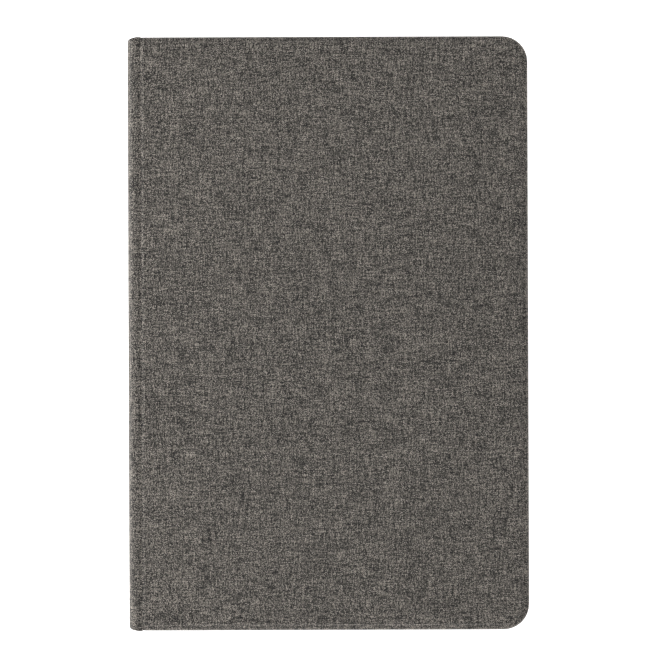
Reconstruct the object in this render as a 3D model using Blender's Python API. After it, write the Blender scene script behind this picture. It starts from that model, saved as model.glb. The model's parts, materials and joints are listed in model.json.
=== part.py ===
"""Tablet keyboard case, lying closed on its rear cover with the front cover up.

The spine runs along Y on the -X side, and the covers open from the +X side. The tablet lies screen up in a
tray on the rear cover. The keyboard is fixed inside the front cover with its keys towards the screen, and
its function row is next to the spine. Metres, +Z up, origin under the middle of the closed case.
"""
import math
from collections import namedtuple

import bmesh
import bpy
from mathutils import Vector

MM = 0.001

# The tablet that the case holds
TABLET_LENGTH = 247.6 * MM
TABLET_WIDTH = 157.4 * MM
TABLET_THICKNESS = 7.0 * MM
TABLET_CORNER = 8.0 * MM

# Gaps
TOUCH_GAP = 0.3 * MM
TABLET_CLEARANCE = 0.3 * MM
CLOSED_GAP = 0.5 * MM
CREASE_GAP = 0.15 * MM

# Tray
TRAY_FLOOR = 1.2 * MM
TRAY_WALL = 1.5 * MM
TRAY_LIP = 1.2 * MM
LIP_OVERHANG = 1.2 * MM
TRAY_EDGE_ROUND = 0.6 * MM
CAMERA_HOLE_LENGTH = 30.0 * MM
CAMERA_HOLE_WIDTH = 18.0 * MM
CAMERA_HOLE_INSET = 6.0 * MM
CAMERA_BEZEL = 0.9 * MM
CAMERA_BEZEL_CHAMFER = 0.4 * MM
CHARGING_NOTCH = 16.0 * MM
BUTTON_NOTCH = 46.0 * MM
BUTTON_NOTCH_INSET = 18.0 * MM
SPEAKER_SLOT_LENGTH = 26.0 * MM
SPEAKER_SLOT_HEIGHT = 2.4 * MM
SPEAKER_SLOT_SPREAD = 44.0 * MM

# Layers of both covers
SKIN = 0.8 * MM
BOARD = 1.2 * MM
LINING = 0.5 * MM
RIM_WALL = 1.2 * MM
COVER_CORNER = 11.0 * MM
CREASE_CORNER = 1.6 * MM
COVER_EDGE_ROUND = 1.4 * MM
RIM_ROUND = 0.4 * MM
END_MARGIN = 1.4 * MM
FREE_EDGE_MARGIN = 1.9 * MM
FOLD_MARGIN = 3.3 * MM

# Spine
SPINE_BULGE = 4.8 * MM
SPINE_STRIP = 0.8 * MM
SPINE_STRIP_START = 24.0
SPINE_END_INSET = 1.5 * MM

# Kickstand
KICKSTAND_LENGTH = 62.0 * MM
KICKSTAND_WIDTH = 150.0 * MM
KICKSTAND_CORNER = 5.0 * MM
KICKSTAND_CLEARANCE = 0.4 * MM
KICKSTAND_RECESS = 0.2 * MM
FINGER_NOTCH_RADIUS = 8.0 * MM

# Magnets
MAGNET_LENGTH = 26.0 * MM
MAGNET_WIDTH = 7.0 * MM
MAGNET_INSET = 4.0 * MM

# Keyboard housing
KEYBOARD_END_MARGIN = 7.0 * MM
KEYBOARD_FREE_EDGE_MARGIN = 6.0 * MM
KEYBOARD_CORNER = 5.0 * MM
KEYBOARD_FLOOR = 0.8 * MM
KEYBOARD_WALL = 1.2 * MM
KEYBOARD_EDGE_ROUND = 0.6 * MM
DECK = 1.0 * MM
DOME_SHEET = 0.3 * MM
SIDE_BORDER = 5.5 * MM
FRONT_BORDER = 4.0 * MM
ELECTRONICS_BAY = 15.0 * MM
BATTERY_LENGTH = 120.0 * MM
CIRCUIT_LENGTH = 100.0 * MM
CIRCUIT_BOARD = 0.8 * MM
SOCKET_LENGTH = 7.0 * MM
SOCKET_WIDTH = 8.0 * MM
SOCKET_RISE = 1.4 * MM

# Keys
ROW_UNITS = 13
ROW_PITCH = 17.6 * MM
FUNCTION_ROW_PITCH = 10.5 * MM
KEY_SPACING = 2.6 * MM
KEY_CLEARANCE = 0.4 * MM
KEY_TRAVEL = 1.4 * MM
KEY_STOP_GAP = 0.2 * MM
KEY_PROUD = 1.2 * MM
KEY_CORNER = 1.2 * MM
KEY_EDGE = 0.6 * MM
KEY_FOOT = 0.8 * MM
WEB_WIDTH = 6.0 * MM
WEB = 0.3 * MM
WEB_RAISE = 0.1 * MM

# Controls next to the function row
SWITCH_LENGTH = 5.0 * MM
SWITCH_WIDTH = 2.6 * MM
SWITCH_TRAVEL = 2.0 * MM
SWITCH_PROUD = 0.6 * MM
SWITCH_INSET = 26.0 * MM
BUTTON_RADIUS = 2.5 * MM
BUTTON_PROUD = 0.5 * MM
BUTTON_INSET = 40.0 * MM
BUTTON_TRAVEL = 0.6 * MM
CONTROL_CLEARANCE = 0.3 * MM
CONTROL_FOOT = 0.8 * MM

# Steps of the round corners, and how far a cutter runs past what it cuts
CORNER_STEPS = 6
SMALL_CORNER_STEPS = 2
ROUND_STEPS = 3
ARCH_STEPS = 16
OVERRUN = 1.0 * MM

# Sizes that follow
COVER = SKIN + TOUCH_GAP + BOARD + TOUCH_GAP + LINING
BAY_LENGTH = TABLET_LENGTH + 2 * TABLET_CLEARANCE
BAY_WIDTH = TABLET_WIDTH + 2 * TABLET_CLEARANCE
BAY_DEPTH = TABLET_THICKNESS + TABLET_CLEARANCE
TRAY_LENGTH = BAY_LENGTH + 2 * TRAY_WALL
TRAY_WIDTH = BAY_WIDTH + 2 * TRAY_WALL
CASE_LENGTH = TRAY_LENGTH + 2 * END_MARGIN
CASE_WIDTH = SPINE_BULGE + FOLD_MARGIN + TRAY_WIDTH + FREE_EDGE_MARGIN

CREASE_X = SPINE_BULGE - CASE_WIDTH / 2
FREE_X = CASE_WIDTH / 2
TRAY_X = CREASE_X + FOLD_MARGIN
BAY_X = TRAY_X + TRAY_WALL
BAY_END_Y = BAY_LENGTH / 2
KICKSTAND_X = (CREASE_X + FREE_X) / 2

KEY_BOTTOM = KEYBOARD_FLOOR + TOUCH_GAP + DOME_SHEET + KEY_STOP_GAP + KEY_TRAVEL
WEB_BOTTOM = KEY_BOTTOM + WEB_RAISE
DECK_BOTTOM = WEB_BOTTOM + WEB + TOUCH_GAP
DECK_TOP = DECK_BOTTOM + DECK
KEY_TOP = DECK_TOP + KEY_PROUD
BASE_TOP = DECK_BOTTOM - TOUCH_GAP

TRAY_Z = COVER + TOUCH_GAP
BAY_Z = TRAY_Z + TRAY_FLOOR
LIP_Z = BAY_Z + BAY_DEPTH
TRAY_TOP_Z = LIP_Z + TRAY_LIP
KEYBOARD_Z = TRAY_TOP_Z + CLOSED_GAP + KEY_TOP
CASE_THICKNESS = KEYBOARD_Z + TOUCH_GAP + COVER

KEYBOARD_LENGTH = CASE_LENGTH - 2 * KEYBOARD_END_MARGIN
KEY_PITCH = (KEYBOARD_LENGTH - 2 * SIDE_BORDER) / ROW_UNITS
KEYBOARD_FREE_X = FREE_X - KEYBOARD_FREE_EDGE_MARGIN
FUNCTION_ROW_X = KEYBOARD_FREE_X - FRONT_BORDER - 5 * ROW_PITCH - FUNCTION_ROW_PITCH
KEYBOARD_X = FUNCTION_ROW_X - ELECTRONICS_BAY

# A rectangle in X and Y with one corner radius at its low X end and one at its high X end
Shape = namedtuple("Shape", "low_x high_x low_y high_y low_corner high_corner")

# Keys of the lettered rows from the user's left: name and width in key pitches
LETTER_ROWS = (
    [("tab", 1.5)] + [(letter, 1) for letter in "qwertyuiop"] + [("backspace", 1.5)],
    [("caps_lock", 1.75)] + [(letter, 1) for letter in "asdfghjkl"] + [("enter", 2.25)],
    [("left_shift", 2.25)]
    + [(letter, 1) for letter in "zxcvbnm"]
    + [("comma", 1), ("period", 1), ("right_shift", 1.75)],
)
SPACE_UNITS = 5
END_STRIP_KEYS = 4

FABRIC = ((0.105, 0.098, 0.090), 0.9, 0.0)
LINING_CLOTH = ((0.045, 0.044, 0.044), 0.95, 0.0)
GREYBOARD = ((0.30, 0.28, 0.25), 0.9, 0.0)
SOFT_PLASTIC = ((0.030, 0.030, 0.032), 0.6, 0.0)
HARD_PLASTIC = ((0.050, 0.051, 0.054), 0.45, 0.0)
KEY_PLASTIC = ((0.022, 0.022, 0.024), 0.5, 0.0)
MAGNET_METAL = ((0.62, 0.62, 0.60), 0.3, 1.0)
CIRCUIT_GREEN = ((0.020, 0.110, 0.050), 0.5, 0.0)
BATTERY_FOIL = ((0.55, 0.55, 0.56), 0.35, 0.8)
RUBBER = ((0.16, 0.16, 0.17), 0.8, 0.0)


def clear_scene():
    for obj in list(bpy.data.objects):
        bpy.data.objects.remove(obj, do_unlink=True)


def inset(shape, distance):
    """The same rectangle with every side moved in, and its corner radii reduced to match."""
    smallest = 0.05 * MM
    return Shape(
        shape.low_x + distance,
        shape.high_x - distance,
        shape.low_y + distance,
        shape.high_y - distance,
        max(shape.low_corner - distance, smallest),
        max(shape.high_corner - distance, smallest),
    )


def ring(shape, z, low_steps=SMALL_CORNER_STEPS, high_steps=CORNER_STEPS):
    """The points of a rectangle with round corners at height z, anticlockwise from above."""
    corners = (
        (shape.high_x, shape.low_y, shape.high_corner, 270, high_steps),
        (shape.high_x, shape.high_y, shape.high_corner, 0, high_steps),
        (shape.low_x, shape.high_y, shape.low_corner, 90, low_steps),
        (shape.low_x, shape.low_y, shape.low_corner, 180, low_steps),
    )
    middle_x = (shape.low_x + shape.high_x) / 2
    middle_y = (shape.low_y + shape.high_y) / 2
    points = []
    for x, y, radius, start, steps in corners:
        centre_x = x - math.copysign(radius, x - middle_x)
        centre_y = y - math.copysign(radius, y - middle_y)
        for step in range(steps + 1):
            angle = math.radians(start + 90 * step / steps)
            across = radius * math.cos(angle)
            along = radius * math.sin(angle)
            points.append(Vector((centre_x + across, centre_y + along, z)))
    return points


def add_loft(bm, loops, hollow=False):
    """Skins a closed body through loops of equal length. A hollow one joins its last loop to its first."""
    rows = [[bm.verts.new(point) for point in loop] for loop in loops]
    following = rows[1:] + rows[:1] if hollow else rows[1:]
    for lower, upper in zip(rows, following):
        count = len(lower)
        for here in range(count):
            after = (here + 1) % count
            bm.faces.new((lower[here], lower[after], upper[after], upper[here]))
    if not hollow:
        bm.faces.new(reversed(rows[0]))
        bm.faces.new(rows[-1])


def add_box(bm, low, high):
    """A plain box between two corners."""
    low_ring = [Vector((x, y, low[2])) for x, y in box_corners(low, high)]
    high_ring = [Vector((x, y, high[2])) for x, y in box_corners(low, high)]
    add_loft(bm, [low_ring, high_ring])


def box_corners(low, high):
    return ((low[0], low[1]), (high[0], low[1]), (high[0], high[1]), (low[0], high[1]))


def finish_object(name, bm, finish, parent=None, origin=None):
    """Turns a mesh built in world places into a named object with its origin on its joint's axis."""
    bmesh.ops.recalc_face_normals(bm, faces=bm.faces)
    bmesh.ops.triangulate(bm, faces=[face for face in bm.faces if len(face.verts) > 4])
    parent_place = parent.matrix_world.translation if parent else Vector((0, 0, 0))
    place = Vector(origin) if origin else parent_place
    bmesh.ops.translate(bm, verts=bm.verts, vec=-place)
    mesh = bpy.data.meshes.new(name)
    bm.to_mesh(mesh)
    bm.free()
    mesh.shade_smooth()
    mesh.set_sharp_from_angle(angle=math.radians(35))
    obj = bpy.data.objects.new(name, mesh)
    bpy.context.collection.objects.link(obj)
    obj.location = place - parent_place
    obj.parent = parent
    if finish:
        mesh.materials.append(make_material(name, finish))
    return obj


def make_material(name, finish):
    colour, roughness, metallic = finish
    material = bpy.data.materials.new(name)
    material.use_nodes = True
    shader = material.node_tree.nodes["Principled BSDF"]
    shader.inputs["Base Color"].default_value = (*colour, 1)
    shader.inputs["Roughness"].default_value = roughness
    shader.inputs["Metallic"].default_value = metallic
    return material


def make_axis(name, place, parent=None):
    """An empty on a joint's axis, which carries the pieces that turn about it."""
    axis = bpy.data.objects.new(name, None)
    bpy.context.collection.objects.link(axis)
    axis.parent = parent
    axis.location = Vector(place) - (parent.matrix_world.translation if parent else Vector((0, 0, 0)))
    bpy.context.view_layer.update()
    return axis


def make_cutter(name, bm):
    """A shape that only cuts or joins, left out of the model itself."""
    cutter = finish_object(name, bm, None)
    cutter.hide_render = True
    cutter.display_type = "WIRE"
    return cutter


def combine(obj, cutter, operation="DIFFERENCE"):
    modifier = obj.modifiers.new(f"{operation.lower()}_{cutter.name}", "BOOLEAN")
    modifier.operation = operation
    modifier.solver = "EXACT"
    modifier.object = cutter


def make_slab(name, shape, low_z, high_z, finish, parent=None, steps=None):
    """A flat plate with round corners."""
    low_steps, high_steps = steps or (SMALL_CORNER_STEPS, CORNER_STEPS)
    bm = bmesh.new()
    add_loft(bm, [ring(shape, z, low_steps, high_steps) for z in (low_z, high_z)])
    return finish_object(name, bm, finish, parent)


def cover_shape():
    """The outline of either cover, from the crease to the free edge."""
    return Shape(
        CREASE_X + CREASE_GAP,
        FREE_X,
        -CASE_LENGTH / 2,
        CASE_LENGTH / 2,
        CREASE_CORNER,
        COVER_CORNER,
    )


def make_cover(prefix, outside_z, inward, parent=None):
    """Skin with its turned rim, board and lining of a cover. Depth is measured from the outer face inwards."""
    shape = cover_shape()
    levels = []
    for step in range(ROUND_STEPS + 1):
        angle = math.radians(90 * step / ROUND_STEPS)
        levels.append((COVER_EDGE_ROUND * (1 - math.sin(angle)), COVER_EDGE_ROUND * (1 - math.cos(angle))))
    levels.append((0.0, COVER - RIM_ROUND))
    levels.append((RIM_ROUND, COVER))
    levels.append((RIM_WALL, COVER))
    levels.append((RIM_WALL, SKIN))
    bm = bmesh.new()
    add_loft(bm, [ring(inset(shape, step_in), outside_z + inward * depth) for step_in, depth in levels])
    skin = finish_object(f"{prefix}_skin", bm, FABRIC, parent)

    inner = inset(shape, RIM_WALL + TOUCH_GAP)
    board_depth = SKIN + TOUCH_GAP
    lining_depth = board_depth + BOARD + TOUCH_GAP
    board_levels = sorted(outside_z + inward * depth for depth in (board_depth, board_depth + BOARD))
    lining_levels = sorted(outside_z + inward * depth for depth in (lining_depth, COVER))
    board = make_slab(f"{prefix}_board", inner, *board_levels, GREYBOARD, parent)
    lining = make_slab(f"{prefix}_lining", inner, *lining_levels, LINING_CLOTH, parent)
    return skin, board, lining


def make_tray():
    """The moulded tray: a floor, walls and a lip that overhangs the tablet's edge all round."""
    shape = Shape(
        TRAY_X,
        TRAY_X + TRAY_WIDTH,
        -TRAY_LENGTH / 2,
        TRAY_LENGTH / 2,
        TABLET_CORNER + TABLET_CLEARANCE + TRAY_WALL,
        TABLET_CORNER + TABLET_CLEARANCE + TRAY_WALL,
    )
    levels = [
        (TRAY_EDGE_ROUND, TRAY_Z),
        (0.0, TRAY_Z + TRAY_EDGE_ROUND),
        (0.0, TRAY_TOP_Z - TRAY_EDGE_ROUND),
        (TRAY_EDGE_ROUND, TRAY_TOP_Z),
        (TRAY_WALL + LIP_OVERHANG, TRAY_TOP_Z),
        (TRAY_WALL + LIP_OVERHANG, LIP_Z),
        (TRAY_WALL, LIP_Z),
        (TRAY_WALL, BAY_Z),
    ]
    bm = bmesh.new()
    add_loft(bm, [ring(inset(shape, step_in), z, CORNER_STEPS, CORNER_STEPS) for step_in, z in levels])
    tray = finish_object("tablet_tray", bm, SOFT_PLASTIC)

    bay_middle_x = BAY_X + BAY_WIDTH / 2
    wall_end_y = TRAY_LENGTH / 2 + OVERRUN
    wall_reach = TRAY_WALL + LIP_OVERHANG + 2 * OVERRUN
    bm = bmesh.new()
    add_box(
        bm,
        (bay_middle_x - CHARGING_NOTCH / 2, -wall_end_y, BAY_Z),
        (bay_middle_x + CHARGING_NOTCH / 2, wall_reach - wall_end_y, TRAY_TOP_Z + OVERRUN),
    )
    notch_end_y = BAY_END_Y - BUTTON_NOTCH_INSET
    wall_end_x = TRAY_X + TRAY_WIDTH + OVERRUN
    add_box(
        bm,
        (wall_end_x - wall_reach, notch_end_y - BUTTON_NOTCH, BAY_Z),
        (wall_end_x, notch_end_y, TRAY_TOP_Z + OVERRUN),
    )
    slot_z = BAY_Z + (BAY_DEPTH - SPEAKER_SLOT_HEIGHT) / 2
    for side_y in (-wall_end_y, wall_end_y - wall_reach):
        for side_x in (-1, 1):
            slot_x = bay_middle_x + side_x * SPEAKER_SLOT_SPREAD
            add_box(
                bm,
                (slot_x - SPEAKER_SLOT_LENGTH / 2, side_y, slot_z),
                (slot_x + SPEAKER_SLOT_LENGTH / 2, side_y + wall_reach, slot_z + SPEAKER_SLOT_HEIGHT),
            )
    combine(tray, make_cutter("tray_notches", bm))
    return tray


def camera_shape():
    """The opening for the tablet's camera, in the corner of the tray that is last to be covered."""
    high_x = BAY_X + BAY_WIDTH - CAMERA_HOLE_INSET
    high_y = BAY_END_Y - CAMERA_HOLE_INSET
    return Shape(
        high_x - CAMERA_HOLE_WIDTH,
        high_x,
        high_y - CAMERA_HOLE_LENGTH,
        high_y,
        CAMERA_HOLE_WIDTH / 3,
        CAMERA_HOLE_WIDTH / 3,
    )


def camera_ring(step_in, z):
    return ring(inset(camera_shape(), step_in), z, CORNER_STEPS, CORNER_STEPS)


def make_camera_opening(cover_layers, tray):
    """The camera's opening through the tray and the cover, and the bezel that lines it."""
    bm = bmesh.new()
    add_loft(bm, [camera_ring(0.0, z) for z in (TRAY_Z - OVERRUN, BAY_Z + OVERRUN)])
    combine(tray, make_cutter("camera_hole_in_tray", bm))
    bm = bmesh.new()
    clear = -CAMERA_BEZEL - TOUCH_GAP
    add_loft(bm, [camera_ring(clear, z) for z in (-OVERRUN, COVER + OVERRUN)])
    hole = make_cutter("camera_hole_in_cover", bm)
    for layer in cover_layers:
        combine(layer, hole)
    loops = [
        camera_ring(-CAMERA_BEZEL, 0.0),
        camera_ring(-CAMERA_BEZEL, COVER),
        camera_ring(0.0, COVER),
        camera_ring(0.0, CAMERA_BEZEL_CHAMFER),
        camera_ring(-CAMERA_BEZEL_CHAMFER, 0.0),
    ]
    bm = bmesh.new()
    add_loft(bm, loops, hollow=True)
    finish_object("camera_bezel", bm, HARD_PLASTIC)


def kickstand_opening():
    """The gap in the rear cover that the kickstand closes, with its hinge side at high X."""
    return Shape(
        KICKSTAND_X - KICKSTAND_LENGTH,
        KICKSTAND_X,
        -KICKSTAND_WIDTH / 2,
        KICKSTAND_WIDTH / 2,
        KICKSTAND_CORNER,
        0.1 * MM,
    )


def make_kickstand(rear_skin, rear_board, axis):
    """The flap that props the tablet up, and the gap and finger notch that it leaves in the rear cover."""
    opening = kickstand_opening()
    top_z = SKIN + TOUCH_GAP + BOARD + TOUCH_GAP / 2
    bm = bmesh.new()
    add_loft(bm, [ring(opening, z, ROUND_STEPS, 1) for z in (-OVERRUN, top_z)])
    gap = make_cutter("kickstand_gap", bm)
    notch_shape = Shape(
        opening.low_x - FINGER_NOTCH_RADIUS,
        opening.low_x + FINGER_NOTCH_RADIUS,
        -FINGER_NOTCH_RADIUS,
        FINGER_NOTCH_RADIUS,
        FINGER_NOTCH_RADIUS,
        FINGER_NOTCH_RADIUS,
    )
    bm = bmesh.new()
    add_loft(bm, [ring(notch_shape, z, CORNER_STEPS, CORNER_STEPS) for z in (-OVERRUN, top_z)])
    notch = make_cutter("finger_notch", bm)
    for piece in (rear_skin, rear_board):
        combine(piece, gap)
        combine(piece, notch)

    flap = inset(opening, KICKSTAND_CLEARANCE)
    steps = (ROUND_STEPS, 1)
    make_slab("kickstand_skin", flap, KICKSTAND_RECESS, SKIN, FABRIC, axis, steps=steps)
    board_z = SKIN + TOUCH_GAP
    make_slab("kickstand_board", flap, board_z, board_z + BOARD, GREYBOARD, axis, steps=steps)


def make_magnet(front_board, axis):
    """The flat bar magnet let into the front board near its free edge, with a touch gap round it."""
    low_x = FREE_X - RIM_WALL - MAGNET_INSET - MAGNET_WIDTH
    high_x = low_x + MAGNET_WIDTH
    low_z = CASE_THICKNESS - SKIN - TOUCH_GAP - BOARD
    high_z = low_z + BOARD
    half = MAGNET_LENGTH / 2
    bm = bmesh.new()
    add_box(
        bm,
        (low_x - TOUCH_GAP, -half - TOUCH_GAP, low_z - TOUCH_GAP),
        (high_x + TOUCH_GAP, half + TOUCH_GAP, high_z + TOUCH_GAP),
    )
    combine(front_board, make_cutter("magnet_pocket", bm))
    bm = bmesh.new()
    add_box(bm, (low_x, -half, low_z), (high_x, half, high_z))
    finish_object("closure_magnet", bm, MAGNET_METAL, axis)


def arch(depth, start):
    """Points of the spine's curve, pushed in by depth, from the front crease round to the rear crease."""
    half_height = CASE_THICKNESS / 2
    last = 180 - start
    points = []
    bulge = SPINE_BULGE - CREASE_GAP
    for step in range(ARCH_STEPS + 1):
        angle = math.radians(start + (last - start) * step / ARCH_STEPS)
        out = bulge * math.sin(angle)
        rise = half_height * math.cos(angle)
        normal = Vector((out / bulge**2, rise / half_height**2)).normalized()
        x = CREASE_X - CREASE_GAP - max(out - depth * normal.x, 0.0)
        points.append(Vector((x, half_height + rise - depth * normal.y)))
    return points


def make_arch(name, outer_depth, inner_depth, start, half_length, finish, axis):
    """A layer of the spine: the band between two depths, drawn along Y."""
    profile = arch(outer_depth, start) + list(reversed(arch(inner_depth, start)))
    loops = [[Vector((point.x, y, point.y)) for point in profile] for y in (-half_length, half_length)]
    bm = bmesh.new()
    add_loft(bm, loops)
    return finish_object(name, bm, finish, axis)


def make_spine(axis):
    strip_depth = SKIN + TOUCH_GAP
    lining_depth = strip_depth + SPINE_STRIP + TOUCH_GAP
    half = CASE_LENGTH / 2
    inner_half = half - SPINE_END_INSET
    make_arch("spine_skin", 0.0, SKIN, 0.0, half, FABRIC, axis)
    strip_end = strip_depth + SPINE_STRIP
    make_arch("spine_strip", strip_depth, strip_end, SPINE_STRIP_START, inner_half, SOFT_PLASTIC, axis)
    make_arch("spine_lining", lining_depth, lining_depth + LINING, 0.0, inner_half, LINING_CLOTH, axis)


def keyboard_z(depth):
    """World height of a depth in the keyboard, measured from the face that is fixed to the front cover."""
    return KEYBOARD_Z - depth


def keyboard_shape():
    return Shape(
        KEYBOARD_X,
        KEYBOARD_FREE_X,
        -KEYBOARD_LENGTH / 2,
        KEYBOARD_LENGTH / 2,
        KEYBOARD_CORNER,
        KEYBOARD_CORNER,
    )


def unit_y(units):
    """World Y of a distance in key pitches from the user's left end of a row."""
    return KEYBOARD_LENGTH / 2 - SIDE_BORDER - units * KEY_PITCH


def key_shape(row_x, row_pitch, first_unit, units):
    """The outline of a keycap at its foot."""
    margin = KEY_SPACING / 2
    return Shape(
        row_x + margin,
        row_x + row_pitch - margin,
        unit_y(first_unit + units) + margin,
        unit_y(first_unit) - margin,
        KEY_CORNER,
        KEY_CORNER,
    )


def add_keycap(bm, shape, foot=0.0):
    """A keycap with chamfered corners and a softened top edge, on a foot that stands out all round."""
    levels = [
        (0.0, KEY_TOP - KEY_EDGE),
        (KEY_EDGE, KEY_TOP),
    ]
    if foot:
        foot_top = WEB_BOTTOM + WEB
        levels = [(-foot, KEY_BOTTOM), (-foot, foot_top), (0.0, foot_top)] + levels
    else:
        levels = [(0.0, KEY_BOTTOM)] + levels
    add_loft(bm, [ring(inset(shape, step_in), keyboard_z(depth), 1, 1) for step_in, depth in levels])


def make_key(name, shape, axis):
    """A separate key, whose foot keeps it under the deck."""
    bm = bmesh.new()
    add_keycap(bm, shape, KEY_FOOT)
    middle = ((shape.low_x + shape.high_x) / 2, (shape.low_y + shape.high_y) / 2, keyboard_z(KEY_TOP))
    finish_object(name, bm, KEY_PLASTIC, axis, middle)


def make_key_strip(name, shapes, axis):
    """Keycaps in a row, joined by a thin web that runs under the deck."""
    bm = bmesh.new()
    for shape in shapes:
        add_keycap(bm, shape)
    caps = make_cutter(f"{name}_caps", bm)
    first = shapes[0]
    last = shapes[-1]
    middle_x = (first.low_x + first.high_x) / 2
    bm = bmesh.new()
    add_box(
        bm,
        (middle_x - WEB_WIDTH / 2, last.low_y + KEY_EDGE, keyboard_z(WEB_BOTTOM + WEB)),
        (middle_x + WEB_WIDTH / 2, first.high_y - KEY_EDGE, keyboard_z(WEB_BOTTOM)),
    )
    middle = (middle_x, (last.low_y + first.high_y) / 2, keyboard_z(KEY_TOP))
    strip = finish_object(name, bm, KEY_PLASTIC, axis, middle)
    combine(strip, caps, "UNION")


def make_keys(axis):
    """All the keys, row by row from the function row. Returns the outline of every keycap."""
    function_row = [key_shape(FUNCTION_ROW_X, FUNCTION_ROW_PITCH, unit, 1) for unit in range(ROW_UNITS)]
    row_x = FUNCTION_ROW_X + FUNCTION_ROW_PITCH
    number_row = [key_shape(row_x, ROW_PITCH, unit, 1) for unit in range(ROW_UNITS)]
    make_key_strip("function_key_row", function_row, axis)
    make_key_strip("number_key_row", number_row, axis)
    outlines = function_row + number_row
    for row in LETTER_ROWS:
        row_x += ROW_PITCH
        unit = 0
        for name, units in row:
            shape = key_shape(row_x, ROW_PITCH, unit, units)
            make_key(f"key_{name}", shape, axis)
            outlines.append(shape)
            unit += units
    row_x += ROW_PITCH
    modifiers = [key_shape(row_x, ROW_PITCH, unit, 1) for unit in range(END_STRIP_KEYS)]
    arrow_start = END_STRIP_KEYS + SPACE_UNITS
    arrows = [key_shape(row_x, ROW_PITCH, arrow_start + unit, 1) for unit in range(END_STRIP_KEYS)]
    space = key_shape(row_x, ROW_PITCH, END_STRIP_KEYS, SPACE_UNITS)
    make_key_strip("modifier_keys", modifiers, axis)
    make_key("key_space", space, axis)
    make_key_strip("arrow_keys", arrows, axis)
    return outlines + modifiers + [space] + arrows


def control_place(inset_y):
    """Where a control sits between the function row and the spine, at a distance from the user's left."""
    return KEYBOARD_X + ELECTRONICS_BAY / 2, KEYBOARD_LENGTH / 2 - inset_y


def make_control(name, shape, foot_depth, top_depth, axis):
    """A switch or button on a foot that keeps it under the deck."""
    foot_top = DECK_BOTTOM - TOUCH_GAP
    steps = CORNER_STEPS
    levels = (
        (-CONTROL_FOOT, foot_depth),
        (-CONTROL_FOOT, foot_top),
        (0.0, foot_top),
        (0.0, top_depth),
    )
    bm = bmesh.new()
    add_loft(bm, [ring(inset(shape, step_in), keyboard_z(depth), steps, steps) for step_in, depth in levels])
    place = ((shape.low_x + shape.high_x) / 2, (shape.low_y + shape.high_y) / 2, keyboard_z(DECK_TOP))
    finish_object(name, bm, HARD_PLASTIC, axis, place)


def make_controls(axis):
    """The sliding power switch and the round pairing button. Returns the outlines of their openings."""
    switch_x, switch_y = control_place(SWITCH_INSET)
    switch = Shape(
        switch_x - SWITCH_WIDTH / 2,
        switch_x + SWITCH_WIDTH / 2,
        switch_y - SWITCH_LENGTH / 2,
        switch_y + SWITCH_LENGTH / 2,
        SWITCH_WIDTH / 3,
        SWITCH_WIDTH / 3,
    )
    circuit_top = KEYBOARD_FLOOR + TOUCH_GAP + CIRCUIT_BOARD
    make_control("power_switch", switch, circuit_top + TOUCH_GAP, DECK_TOP + SWITCH_PROUD, axis)
    button_x, button_y = control_place(BUTTON_INSET)
    button = Shape(
        button_x - BUTTON_RADIUS,
        button_x + BUTTON_RADIUS,
        button_y - BUTTON_RADIUS,
        button_y + BUTTON_RADIUS,
        BUTTON_RADIUS,
        BUTTON_RADIUS,
    )
    foot_depth = circuit_top + TOUCH_GAP + BUTTON_TRAVEL
    make_control("pairing_button", button, foot_depth, DECK_TOP + BUTTON_PROUD, axis)
    slot = inset(switch, -CONTROL_CLEARANCE)
    slot = slot._replace(low_y=slot.low_y - SWITCH_TRAVEL)
    return slot, inset(button, -CONTROL_CLEARANCE)


def make_keyboard(axis):
    """The keyboard's housing and inner pieces, with an opening in the deck for each key and control."""
    shape = keyboard_shape()
    levels = [
        (KEYBOARD_EDGE_ROUND, 0.0),
        (0.0, KEYBOARD_EDGE_ROUND),
        (0.0, BASE_TOP),
        (KEYBOARD_WALL, BASE_TOP),
        (KEYBOARD_WALL, KEYBOARD_FLOOR),
    ]
    bm = bmesh.new()
    add_loft(bm, [ring(inset(shape, step_in), keyboard_z(depth)) for step_in, depth in levels])
    base = finish_object("keyboard_base", bm, HARD_PLASTIC, axis)

    keycaps = make_keys(axis)
    slot, hole = make_controls(axis)
    levels = (
        (0.0, DECK_BOTTOM),
        (0.0, DECK_TOP - KEYBOARD_EDGE_ROUND),
        (KEYBOARD_EDGE_ROUND, DECK_TOP),
    )
    bm = bmesh.new()
    add_loft(bm, [ring(inset(shape, step_in), keyboard_z(depth)) for step_in, depth in levels])
    deck = finish_object("keyboard_deck", bm, HARD_PLASTIC, axis)
    low_z = keyboard_z(DECK_TOP + OVERRUN)
    high_z = keyboard_z(DECK_BOTTOM - OVERRUN)
    bm = bmesh.new()
    for cap in [inset(keycap, -KEY_CLEARANCE) for keycap in keycaps]:
        add_box(bm, (cap.low_x, cap.low_y, low_z), (cap.high_x, cap.high_y, high_z))
    for opening in (slot, hole):
        add_loft(bm, [ring(opening, z, CORNER_STEPS, CORNER_STEPS) for z in (low_z, high_z)])
    combine(deck, make_cutter("deck_openings", bm))

    make_inner_pieces(base, axis)


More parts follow.
